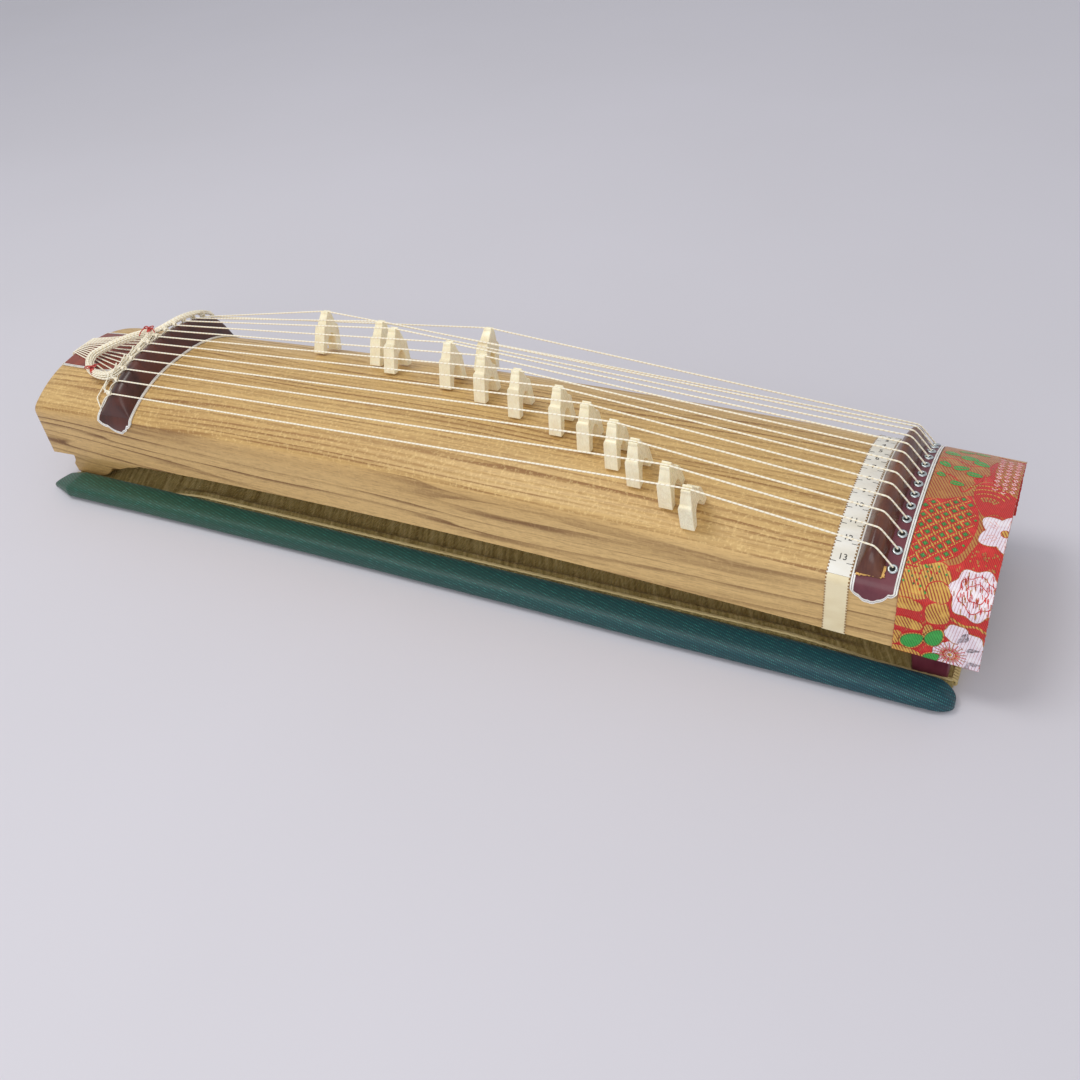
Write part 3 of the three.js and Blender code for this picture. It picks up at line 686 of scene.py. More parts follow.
def make_stage():
    floor = bpy.data.meshes.new("floor")
    reach = FLOOR_REACH
    floor.from_pydata([(-reach, -reach, 0), (reach, -reach, 0), (reach, reach, 0), (-reach, reach, 0)],
                      [], [(0, 1, 2, 3)])
    obj = place_in_scene("floor", floor)
    obj.location = (0, 0, -FLOOR_DROP)
    r = Recipe("pale table", roughness=0.6)
    floor.materials.append(r.done(r.mix(r.noise((3, 3, 3), 3), srgb(216, 214, 223), srgb(209, 207, 214))))
    world = bpy.data.worlds.new("soft room")
    world.use_nodes = True
    world.node_tree.nodes["Background"].inputs["Color"].default_value = (0.9, 0.91, 0.95, 1)
    world.node_tree.nodes["Background"].inputs["Strength"].default_value = 0.62
    bpy.context.scene.world = world
    bpy.context.scene.view_settings.view_transform = "Standard"
    make_light("lamp", (-0.5, -0.25, 1.5), (0, 0, 0.05), 0.7, 8, (1, 0.98, 0.93))
    make_light("room", (0.5, -1.5, 0.9), (0.1, 0, 0.05), 1.4, 9, (1, 0.98, 0.96))


# ---- strings, as in the CAD


def string_side(number):
    return (STRING_COUNT + 1) / 2 - number


def tail_y(number):
    return string_side(number) * TAIL_PITCH


def head_y(number):
    return HEAD_SHIFT + string_side(number) * HEAD_PITCH


def bridge_x(number):
    return HEAD_SADDLE["crest"] - SPEAKING_LENGTHS[number - 1]


def bridge_y(number):
    share = (bridge_x(number) - TAIL_SADDLE["crest"]) / (HEAD_SADDLE["crest"] - TAIL_SADDLE["crest"])
    return string_side(number) * lerp(TAIL_PITCH, WIDEST_PITCH, share)


STRING_SUNK = 0.25
CREST_EASE = 0.6  # a string's straight stretch ends this far before a saddle's crest
KNOT = {"behind": 2.6, "lift": 15.4, "wraps": 3.5, "steps": 56, "wide": 1.1, "thread": 0.43}
STRING_ON_BRIDGE = BRIDGE["height"] - BRIDGE["groove"] + CLEAR + STRING_DIAMETER / 2


def bridge_seat(number):
    """Where a bridge stands: its foot's place and its lean, so that its groove is under the string."""
    x, target = bridge_x(number), bridge_y(number)
    y = target
    for _ in range(30):
        y = target + STRING_ON_BRIDGE * math.sin(math.atan(board_slope(x, y)))
    return x, y, board_top(x, y), math.atan(board_slope(x, y))


def over_board(x, y, lift):
    return Vector((x, y, board_top(x, y) + lift))


def string_routes(number):
    """The string's two stretches, one on each side of its bridge. They meet in its groove."""
    side = string_side(number)
    x, y, z, lean = bridge_seat(number)
    over_plate = 2 * CLEAR + HEAD_PLATE["thickness"] + STRING_DIAMETER / 2
    over_leaf = 2 * CLEAR + LEAF["thickness"] + STRING_DIAMETER / 2
    head_crest = HEAD_SADDLE["height"] + CLEAR + STRING_DIAMETER / 2
    tail_crest = TAIL_SADDLE["height"] + CLEAR + STRING_DIAMETER / 2

    def over_bridge(shift):
        return Vector((x + shift, y - STRING_ON_BRIDGE * math.sin(lean),
                       z + STRING_ON_BRIDGE * math.cos(lean) + shift * camber_slope(x) - STRING_SUNK))

    gather = math.copysign(GATHER_HALF * (abs(side) / string_side(1)) ** 0.8, side)
    edge = side * TAIL_EDGE_PITCH
    run = GATHER_X - GATHER_STEP * max(abs(side) - 2, 0)
    far = tail_y(number)
    end = -BODY_HALF - CLEAR - STRING_DIAMETER / 2
    below = body_bottom(-BODY_HALF) - CLEAR - STRING_DIAMETER / 2
    near = head_y(number)
    crest, back, foot = HEAD_SADDLE["crest"], TAIL_SADDLE["crest"], TAIL_SADDLE["tail"]
    to_head = [
        over_bridge(0), over_bridge(BRIDGE["head"] * 0.6),
        over_board(crest - CREST_EASE, near, head_crest),
        over_board(crest + 1.2, near, head_crest - 0.35),
        over_board(crest + 3, near, head_crest - 1.9),
        over_board(EYELET_X - 1.2, near, over_plate + 1.3),
        over_board(EYELET_X, near, over_plate - 0.2),
    ]
    to_tail = [
        over_bridge(0), over_bridge(-BRIDGE["head"] * 0.6),
        over_board(back + CREST_EASE, far, tail_crest),
        over_board(back - 2.5, far, tail_crest - 0.3),
        over_board(back - 9, far, tail_crest - 4.4),
        over_board(foot + 1.5, far, over_plate + 3.4),
        over_board(foot - 1.2, far, over_plate + 0.3),
        over_board(run, lerp(far, gather, 0.25), over_leaf),
        over_board(run - 1.2, lerp(far, gather, 0.8), over_leaf),
        over_board(run - 6, gather * 0.97, over_leaf),
        over_board(-270, lerp(gather, edge, 0.47), over_leaf),
        over_board(-BODY_HALF + 1, edge, over_leaf),
        Vector((end, edge, board_top(-BODY_HALF, edge) + 0.3)), Vector((end, edge, below + 0.5)),
        Vector((end + 0.5, edge, below)), Vector((STRING_END_X, edge, below)),
    ]
    return to_head, to_tail


def make_strings():
    """Each string as two stretches that meet in its bridge's groove, one running to the head and one to
    the tail.
    """
    for number in range(1, STRING_COUNT + 1):
        node, bridge = f"string_{number:02d}", f"bridge_{number:02d}"
        to_head, to_tail = string_routes(number)
        stretches = (
            (f"{node}_head", to_head, HEAD_SADDLE["crest"] - CREST_EASE),
            (f"{node}_tail", to_tail, TAIL_SADDLE["crest"] + CREST_EASE),
        )
        for name, route, crest in stretches:
            shape = Shape().tube(rounded(route), STRING_DIAMETER / 2)
            obj = shape.build(name, [CREAM_STRING], None, [node], "twisted_string")
            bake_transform(obj)


def knot_place(number):
    """Each string is knotted on the tail saddle, just behind its crest."""
    x, y = TAIL_SADDLE["crest"] - KNOT["behind"], tail_y(number)
    return Vector((x, y, board_top(x, y) + KNOT["lift"]))


def make_knots():
    shape = Shape()
    rough = random.Random(5)
    for number in range(1, STRING_COUNT + 1):
        centre = knot_place(number)
        lean, spin = rough.uniform(-0.5, 0.5), rough.uniform(0, 6)
        path = []
        for turn in spread(0, 2 * math.pi * KNOT["wraps"], KNOT["steps"] + 1):
            wide = KNOT["wide"] + 0.2 * math.sin(turn * 0.43 + spin)
            path.append(centre + Vector((0.8 * math.sin(turn * 0.37 + spin) + lean * math.cos(turn),
                                         wide * math.cos(turn), 0.8 * wide * math.sin(turn))))
        shape.tube(path, KNOT["thread"], 8)
        end = [centre, centre + Vector((-1.6, rough.uniform(-1.5, 1.5), 1.4)),
               centre + Vector((-3.2, rough.uniform(-2.5, 2.5), 0.4))]
        shape.tube(smooth_line(end, 10), 0.4, 8)
    shape.build("string_knots", [CREAM_STRING], "koto", slot="twisted_string")


# ---- hank of spare string

HANK_LOOP = [  # x, y and the height of the bundle's middle over the board
    (-240.5, 8, 11.6), (-250, 4.6, 10.3), (-260, -1.5, 8.3), (-267.5, -8.5, 6.6), (-270.5, -17, 6.1),
    (-266, -25.5, 6), (-258, -30.5, 6), (-249, -32.5, 6.1), (-241.5, -32, 6.6), (-236.5, -27.5, 7.6),
    (-234.5, -19, 8.8), (-234, -9, 9.8), (-235.4, 3.4, 11.3),
]
HANK_STEPS = 72
HANK_SPREAD = 1.08
BUNCH_LINE = [
    (-224, 51.5, 17.2), (-223.6, 43, 17.8), (-223.6, 34, 17.8), (-224.4, 25, 17.4), (-227.2, 16.5, 16),
    (-232.5, 11, 13.8), (-238, 8, 12),
]
BUNCH_STEPS = 40
BUNCH_SPREAD = 0.92
FIRST_LEAD = 5  # the first string whose end leads down to the near tie
STRAND_RADIUS = 0.44
TIE = {"radius": 3.1, "turns": 4, "pitch": 0.62, "thread": 0.36}


def aside_of(way):
    return Vector((way.y, -way.x, 0)).normalized()


def packed_spots(spacing):
    """Nineteen places in a round bundle, from its middle out, as (aside, up) pairs."""
    spots = [(0, 0)]
    for ring in (1, 2):
        for turn in turns(6 * ring):
            angle = turn + ring * 0.4
            spots.append((ring * spacing * math.cos(angle), ring * spacing * math.sin(angle)))
    return spots


def hank_path():
    """One long string wound round the loop, its turns side by side in a loose bundle."""
    loop = smooth_line([over_board(*p) for p in HANK_LOOP], HANK_STEPS, closed=True)
    rough = random.Random(9)
    lanes = [(*spot, rough.uniform(0, 6.28), rough.uniform(0.2, 0.75))
             for spot in packed_spots(HANK_SPREAD)]
    path = []
    for lane, after in zip(lanes, lanes[1:] + lanes[-1:]):
        for k, turn in enumerate(turns(HANK_STEPS)):
            share = eased((k / HANK_STEPS - 0.6) * 2.5)
            out, up, phase, loose = (lerp(a, b, share) for a, b in zip(lane, after))
            aside = aside_of(loop[(k + 1) % HANK_STEPS] - loop[k - 1])
            out += loose * max(0, math.sin(turn - 0.1 * math.pi)) * math.sin(phase + 2 * turn)
            out += 1.7 * loose * max(0, -math.sin(turn)) * math.sin(phase)
            path.append(loop[k] + aside * out + Vector((0, 0, up)))
    return path


def make_bunch():
    """The strings' ends run from their knots along the saddle to the far tie."""
    shape = Shape()
    line = smooth_line([over_board(*p) for p in BUNCH_LINE], BUNCH_STEPS)
    rough = random.Random(15)
    for number, (out, up) in enumerate(packed_spots(BUNCH_SPREAD)):
        phase = rough.uniform(0, 6.28)
        path = []
        for k in range(3 * max(0, number - 8), BUNCH_STEPS):
            squeeze = lerp(1, 0.8, (k / BUNCH_STEPS) ** 3)
            wander = 0.14 * math.sin(phase + k * 0.2)
            path.append(line[k] + aside_of(heading_at(line, k)) * (out * squeeze + wander)
                        + Vector((0, 0, up * squeeze * 0.8)))
        shape.tube(path, STRAND_RADIUS, 7)
    for number in range(FIRST_LEAD, STRING_COUNT + 1):
        knot = knot_place(number)
        y = min(knot.y + 12, 9)
        lead = [knot + Vector((-1.5, 1, 0.6)), over_board(-230.5 - 0.15 * number, knot.y + 4, 12.5),
                over_board(-233.4 - 0.12 * number, lerp(knot.y, y, 0.8) + 2, 12.2),
                over_board(-235.4, y + 2, 13.2)]
        shape.tube(smooth_line(lead, 18), STRAND_RADIUS, 7)
    return shape.build("string_ends_bunch", [CREAM_STRING], "koto", slot="twisted_string")


def make_hank():
    """The coiled string, with the strings' ends and the two ties on it."""
    path = hank_path()
    tube = Shape().tube(path, STRING_DIAMETER / 2, 8)
    obj = tube.build("string_hank_cord", [CREAM_STRING], "koto", ["string_hank"], "twisted_string")
    others = [make_bunch(), make_tie("hank_tie_near", HANK_LOOP[6], 0.7),
              make_tie("hank_tie_far", BUNCH_LINE[6], -2.8)]


def make_tie(node, place, heading):
    """Red thread wound round the hank, with two loose ends and a bow."""
    centre = over_board(*place)
    along = Vector((math.cos(heading), math.sin(heading), 0))
    across = Vector((-along.y, along.x, 0))

    def spot(start, ahead, aside, up):
        return start + along * ahead + across * aside + Vector((0, 0, up))

    radius, thread = TIE["radius"], TIE["thread"]
    path = []
    for i in range(20 * TIE["turns"] + 1):
        turn = 2 * math.pi * i / 20
        path.append(spot(centre, TIE["pitch"] * (i / 20 - TIE["turns"] / 2), radius * math.cos(turn),
                         radius * math.sin(turn)))
    shape = Shape().tube(path, thread, 8)
    top = centre + Vector((0, 0, radius + 0.3))
    for way in (-1, 1):
        end = [top, spot(top, 2.2 * way, 1, 0.6), spot(top, 4.6 * way, 3.2, -0.6),
               spot(top, 5.6 * way, 5.4, -2.8)]
        shape.tube(smooth_line(end, 14), thread, 8)
    bow = [spot(top, 3.2 * math.sin(a), 1.6 * math.sin(2 * a), 0.6) for a in spread(0, 2 * math.pi, 30)]
    shape.tube(bow, thread, 8)
    return shape.build(f"{node}_thread", [RED_THREAD], "koto", [node], "red_thread")


# ---- body


def make_body():
    """The hollow body: one shell for the top and both sides, with softened edges."""
    stations = [-BODY_HALF, -BODY_HALF + 0.35, -BODY_HALF + 1.1] + spread(-290, 290, 59)
    stations += [BODY_HALF - 1.1, BODY_HALF - 0.35, BODY_HALF]
    across = [*skin.along[::2], skin.end]
    across = [-s for s in reversed(across[1:])] + across
    shrink = {BODY_HALF: 1.0, BODY_HALF - 0.35: 0.35}
    top = [[skin.at(x, s, -shrink.get(abs(x), 0)) for s in across] for x in stations]
    shape = Shape().slab(top, [[skin.at(x, s, -TOP_THICKNESS) for s in across] for x in stations])
    obj = shape.build("body_shell", [WOOD_TOP, WOOD_SIDE, WOOD_END], "koto",
                      ["top_board", "side_board_front", "side_board_rear"], "paulownia_top", sharp=50)
    for polygon in obj.data.polygons:
        if abs(polygon.normal.x) > 0.8:
            polygon.material_index = 2
        elif abs(polygon.normal.y) > 0.9:
            polygon.material_index = 1
    for node in ("tail_end_board", "head_end_board"):
        paint(node, WOOD_END)
    for node in ("back_board", "brace_1", "brace_2", "brace_3"):
        paint(node, WOOD_SIDE)


def paint(node, material):
    """Gives a CAD node that stays in view a new material."""
    for slot in bpy.data.objects[node].material_slots:
        slot.material = material


def bevelled(obj, width, segments, angle):
    modifier = obj.modifiers.new("soft edges", "BEVEL")
    modifier.width, modifier.segments = width * MM, segments
    modifier.limit_method, modifier.angle_limit = "ANGLE", math.radians(angle)


def make_foot(name, outline, reach, material, node, slot, bevel):
    """An outline of (x, z) pushed along Y between the reaches, with softened edges."""
    near, far = ([Vector((x, y, z)) for x, z in outline] for y in sorted(reach))
    obj = Shape().prism(near, far).build(name, [material], "koto", [node], slot, sharp=35)
    bevelled(obj, bevel, 2, 40)


def make_feet():
    """Curved brackets at the tail and plain blocks at the head."""
    floor = MAT["thickness"] + CLEAR

    def roof(x):
        return (x, body_bottom(x) - CLEAR)

    def up(x, share):
        return (x, floor + FOOT_HEIGHT * share)

    curves = (
        (roof(-290), up(-284, 0.7), up(-290, 0.35)),
        ((-270, floor), (-259, floor + 1), up(-254, 0.5)),
        (up(-254, 0.5), up(-246, 0.5), up(-238, 0.72)),
        (up(-238, 0.72), up(-226, 0.78), roof(-219)),
    )
    toe = []
    for number, (start, control, end) in enumerate(curves):
        toe += [tuple(quadratic(start, control, end, i / 8)) for i in range(8)]
        if number in (0, 3):
            toe.append(end)
        if number == 0:
            toe.append((-289, floor))
    block = [roof(268), (270, floor), (287, floor), roof(287)]
    for side, name in ((-1, "front"), (1, "rear")):
        make_foot(f"tail_foot_{name}_bracket", toe, (side * 40, side * 50), WOOD_SIDE,
                  f"tail_foot_{name}", "paulownia_side", 0.6)
        make_foot(f"head_foot_{name}_block", block, (side * 34, side * 53), PLUM, f"head_foot_{name}",
                  "maroon_plate", 0.9)


# ---- plates and their white edges


def plate_end(plate, x, inset=0.0):
    """How far down the side the plate reaches at x: small lobes between cusps, and a longer tip."""
    share = (x - plate["tail"]) / (plate["head"] - plate["tail"])
    tip = plate["tip"]
    places = (0, tip * 0.5, tip, lerp(tip, 1, 0.34), lerp(tip, 1, 0.7), 1)
    i = min(bisect.bisect_right(places, max(share, 0)), len(places) - 1)
    t = (share - places[i - 1]) / (places[i] - places[i - 1])
    drop = lerp(plate["drops"][i - 1], plate["drops"][i], t) + 0.9 * math.sin(math.pi * min(max(t, 0), 1))
    return skin.corner + drop - inset


def plate_outline(plate, inset):
    """The plate's edge as (x, s) points, once round."""
    left, right = plate["tail"] + inset, plate["head"] - inset
    front = [(x, plate_end(plate, x, inset)) for x in spread(left, right, 40)]
    back = [(x, -s) for x, s in reversed(front)]
    down, up = ([(x, s) for s in spread(-reach, reach, 60)[1:-1]] for x, reach in (front[0], front[-1]))
    return front + up[::-1] + back + down


def on_skin(xs, across, lift):
    """A grid on the skin."""
    return [[skin.at(x, s, lift) for s in across] for x in xs]


def box_outline(x0, x1, s0, s1):
    return [(x0, s0), (x1, s0), (x1, s1), (x0, s1)]


def make_trim(name, node, outline_at, width, split, high, proud):
    """A white edge strip with a dark line along it, between the split's two shares of its width."""
    trim = Shape()
    lines = (0, width * split[0], width * split[1], width)
    for i, mark in enumerate((0, 1, 0)):
        outer, inner = outline_at(lines[i]), outline_at(lines[i + 1])
        lift = high + proud[mark]
        rows = ((outer, lift), (inner, lift), (inner, CLEAR), (outer, CLEAR))
        points = [skin.at(x, s, up) for line, up in rows for x, s in line]
        count = len(outer)
        faces = [(a * count + i, a * count + j, b * count + j, b * count + i)
                 for i, j in pairs(range(count)) for a, b in pairs(range(4))]
        trim.add(points, faces, mark)
    trim.build(name, [WHITE_LINE, DARK_LINE], "koto", [node], "white_edge")


def make_plate(name, plate, material):
    """A thin plate across the top with its white edge."""
    top = CLEAR + plate["thickness"]
    xs = spread(plate["tail"] + TRIM_WIDTH, plate["head"] - TRIM_WIDTH, 30)
    grids = [[[skin.at(x, plate_end(plate, x, TRIM_WIDTH) * share, lift) for share in spread(-1, 1, 90)]
              for x in xs] for lift in (top, CLEAR)]
    Shape().slab(*grids).build(f"{name}_sheet", [material], "koto", [name], "maroon_plate")
    make_trim(f"{name}_edge", f"{name}_trim", lambda inset: plate_outline(plate, inset), TRIM_WIDTH,
              (0.42, 0.56), top, (0.16, 0.05))


def leaf_outline(inset):
    """The oak leaf: three round lobes point to the saddle, its straight edge is at the tail."""
    half = [(x - inset * 0.9, s - inset, 0) for x, s in LEAF_LOBES]
    half[-1] = (LEAF_LOBES[-1][0] - inset, 0, 0)
    curve = [(LEAF["tail"] + inset, 24 - inset), (-285, 24.6 - inset)]
    curve += [(p.x, p.y) for p in smooth_line(half, 36)]
    return curve + [(x, -s) for x, s in reversed(curve[:-1])]


def make_leaf():
    width, high = TRIM_WIDTH * 0.8, CLEAR + LEAF["thickness"]
    sheet = Shape().patch(leaf_outline(width), CLEAR, high)
    sheet.build("oak_leaf_sheet", [LEAF_RED], "koto", ["oak_leaf_plate"], "maroon_plate")
    make_trim("oak_leaf_edge", "oak_leaf_trim", leaf_outline, width, (0.375, 0.625), high, (0.12, 0.03))


def make_saddle(node, saddle, material):
    """A ridge across the board with a full round back and blunt round ends."""
    low = 2 * CLEAR + HEAD_PLATE["thickness"] - 0.25
    reach = saddle["reach"] + 0.4

    def height(x, y):
        crest = saddle["crest"]
        side, fullness = ("tail", 1.7) if x < crest else ("head", 2.4)
        ratio = min(abs(x - crest) / abs(saddle[side] - crest), 1)
        end_fall = math.sqrt(max(0, 1 - min(abs(y) / reach, 1) ** 26))
        return low + 0.15 + (saddle["height"] - low - 0.15) * (1 - ratio**fullness) * end_fall

    xs = [lerp(saddle["tail"], saddle["head"], 0.5 - 0.5 * math.cos(math.pi * i / 26)) for i in range(27)]
    ys = [reach * math.sin(math.pi / 2 * math.sin(math.pi / 2 * t)) for t in spread(-1, 1, 121)]
    top = [[Vector((x, y, board_top(x, y) + height(x, y))) for y in ys] for x in xs]
    bottom = [[Vector((x, y, board_top(x, y) + low)) for y in ys] for x in xs]
    Shape().slab(top, bottom).build(f"{node}_ridge", [material], "koto", [node], "maroon_plate", sharp=75)


EYELET = [(1.15, 0.05), (2.5, 0.05), (2.45, 0.35), (2.15, 0.65), (1.8, 0.78), (1.45, 0.7), (1.22, 0.45)]
# a flat dark disc inside each eyelet ring, painted shade standing in for its hole
EYELET_SHADE_DISC = [(0.05, 0.03), (1.2, 0.03), (1.2, 0.18), (0.05, 0.18)]


def make_torn_edge():
    """The ridge's veneer has chipped off at its near end: a ragged pale strip round the break."""
    shape = Shape()
    rough = random.Random(7)
    inner = skin.across(-52.5, 246)
    outer = skin.across(-57.6, 246)
    xs = spread(240.2, 252.4, 15)
    near = [(x, outer - 0.8 + rough.uniform(-0.5, 0.5) - 1.6 * (x - 240) / 12) for x in xs]
    far = [(x, s - 1.1 + rough.uniform(-0.25, 0.25)) for x, s in reversed(near)]
    shape.patch(near + far, 1.1, 1.75)
    rise = [(251.6 + rough.uniform(-0.3, 0.3), lerp(outer - 2.6, inner - 2, i / 8)) for i in range(9)]
    fall = [(x + 1.3 + rough.uniform(-0.3, 0.3), s) for x, s in reversed(rise)]
    shape.patch(rise + fall, 1.1, 1.9)
    shape.build("torn_gilt", [GILT], "koto", slot="maroon_plate")


def make_eyelets():
    """Metal eyelets that the strings go down into, each with a dark disc of painted shade where its hole
    is.
    """
    ring = Shape()
    base = CLEAR + HEAD_PLATE["thickness"]
    for number in range(1, STRING_COUNT + 1):
        s = skin.across(head_y(number), EYELET_X)
        centre = skin.at(EYELET_X, s, base)
        up = (skin.at(EYELET_X, s, base + 1) - centre).normalized()
        place = Matrix.Translation(centre) @ up.to_track_quat("Z", "Y").to_matrix().to_4x4()
        ring.lathe(EYELET, place).lathe(EYELET_SHADE_DISC, place, mark=1)
    ring.build("eyelets", [SILVER, SHADOW], "koto", slot="maroon_plate")


# ---- number tape

TAPE_DASH_PITCH = 1.75
DIGIT_SIZE = 4.48


def make_tapes():
    """The paper tape over the top, its two cream tails down the sides, and dashes along both edges."""
    low, high = CLEAR, CLEAR + NUMBER_TAPE["thickness"]
    tail, head = NUMBER_TAPE["tail"], NUMBER_TAPE["head"]
    reach = skin.corner - 1
    xs, across = spread(tail, head, 5), spread(-reach, reach, 120)
    top = [[skin.at(x, s, high + 0.05 * math.sin(s * 0.9)) for s in across] for x in xs]
    strip = Shape().slab(top, on_skin(xs, across, low))
    strip.build("number_tape_paper", [TAPE_PAPER], "koto", ["number_tape"], "number_paper")
    for side, name in ((1, "front"), (-1, "rear")):
        down = [side * s for s in spread(reach + 0.1, skin.end - 0.2, 30)]
        strip = Shape().slab(on_skin(xs, down, high - 0.05), on_skin(xs, down, low))
        strip.build(f"side_tape_{name}_strip", [TAPE_CREAM], "koto", [f"side_tape_{name}"], "cream_tape")
    dashes = Shape()
    for x in (tail + 0.25, head - 0.25):
        s = -skin.end + 1
        while s < skin.end - 1:
            dashes.patch(box_outline(x - 0.3, x + 0.3, s, s + 0.9), high - 0.1, high + 0.06)
            s += TAPE_DASH_PITCH
    dashes.build("tape_dashes", [TAPE_EDGE], "koto", slot="cream_tape")


def digit_place(number):
    """Where a number stands on the tape: under its string, and closer together at the far side."""
    nearest, pitch, far_pitch, change = 52.7, 10.3, 8.4, 7
    if number >= change:
        return nearest - pitch * (STRING_COUNT - number)
    return nearest - pitch * (STRING_COUNT - change) - far_pitch * (change - number)


def make_numbers():
    """Printed numbers 1 to 13 with a short line under each."""
    ink = Shape()
    paper_top = CLEAR + NUMBER_TAPE["thickness"]
    low, high = paper_top - 0.05, paper_top + 0.1
    tail, head = NUMBER_TAPE["tail"], NUMBER_TAPE["head"]
    middle = (tail + head) / 2
    for number in range(1, STRING_COUNT + 1):
        s = digit_place(number)
        points, faces = printed(str(number))
        count = len(points)
        made = [skin.at(middle + px, s - py, lift) for lift in (high, low) for px, py in points]
        solid = [tuple(f) for f in faces] + [tuple(count + i for i in reversed(f)) for f in faces]
        seen = dict.fromkeys(edge for face in faces for edge in pairs(face))
        solid += [(a, b, count + b, count + a) for a, b in seen if (b, a) not in seen]
        ink.add(made, solid)
        line = s + 2.7
        for x0, x1 in ((tail + 0.4, middle - 2.6), (middle + 2.4, head - 0.4)):
            ink.patch(box_outline(x0, x1, line - 0.12, line + 0.12), low, high)
    ink.build("tape_numbers", [PRINT], "koto", slot="number_paper")


def printed(text):
    """The text as flat points and faces around its middle, in mm."""
    curve = bpy.data.curves.new("digits", "FONT")
    curve.body, curve.size, curve.resolution_u = text, DIGIT_SIZE, 3
    curve.align_x, curve.align_y = "CENTER", "CENTER"
    obj = place_in_scene("digits", curve)
    bpy.context.view_layer.update()
    flat = bpy.data.meshes.new_from_object(obj.evaluated_get(bpy.context.evaluated_depsgraph_get()))
    points = [(v.co.x, v.co.y) for v in flat.vertices]
    faces = [list(p.vertices) for p in flat.polygons]
    bpy.data.objects.remove(obj)
    bpy.data.curves.remove(curve)
    bpy.data.meshes.remove(flat)
    return points, faces


# ---- brocade cover

RED, GOLD, GREEN, WHITE, PINK, OLD_GOLD, OLIVE = range(7)
WEFTS = [RED_WEFT, GOLD_WEFT, GREEN_WEFT, WHITE_WEFT, PINK_WEFT, OLD_GOLD_WEFT, OLIVE_WEFT]
WEFT_RISE = 0.06
TICKS = 420
LOOSE_THREADS = 70


def away(x, s, turn, along, aside=0.0):
    """A place so far from (x, s) along a direction and beside it."""
    ahead, beside = math.cos(turn), math.sin(turn)
    return (x + along * ahead - aside * beside, s + along * beside + aside * ahead)


def blob(x, s, radius, lobes=0, depth=0.0, turn=0.0, count=28):
    """A round or lobed outline of (x, s) points."""
    made = []
    for a in turns(count):
        reach = radius * (1 + depth * math.cos(lobes * a))
        made.append(away(x, s, turn, reach * math.cos(a), reach * math.sin(a)))
    return made


def petal(x, s, length, width, turn):
    """A leaf or petal that starts at (x, s) and points along turn."""
    return [away(x, s, turn, length * (0.5 - 0.5 * math.cos(a)),
                 width / 2 * math.sin(a) * (1 + 0.25 * math.cos(a))) for a in turns(20)]


def diamond(x, s, reach, rise=None):
    rise = rise or reach
    return [(x - reach, s), (x, s - rise), (x + reach, s), (x, s + rise)]


def smooth_outline(points, count):
    return [(p.x, p.y) for p in smooth_line([(x, s, 0) for x, s in points], count, closed=True)]


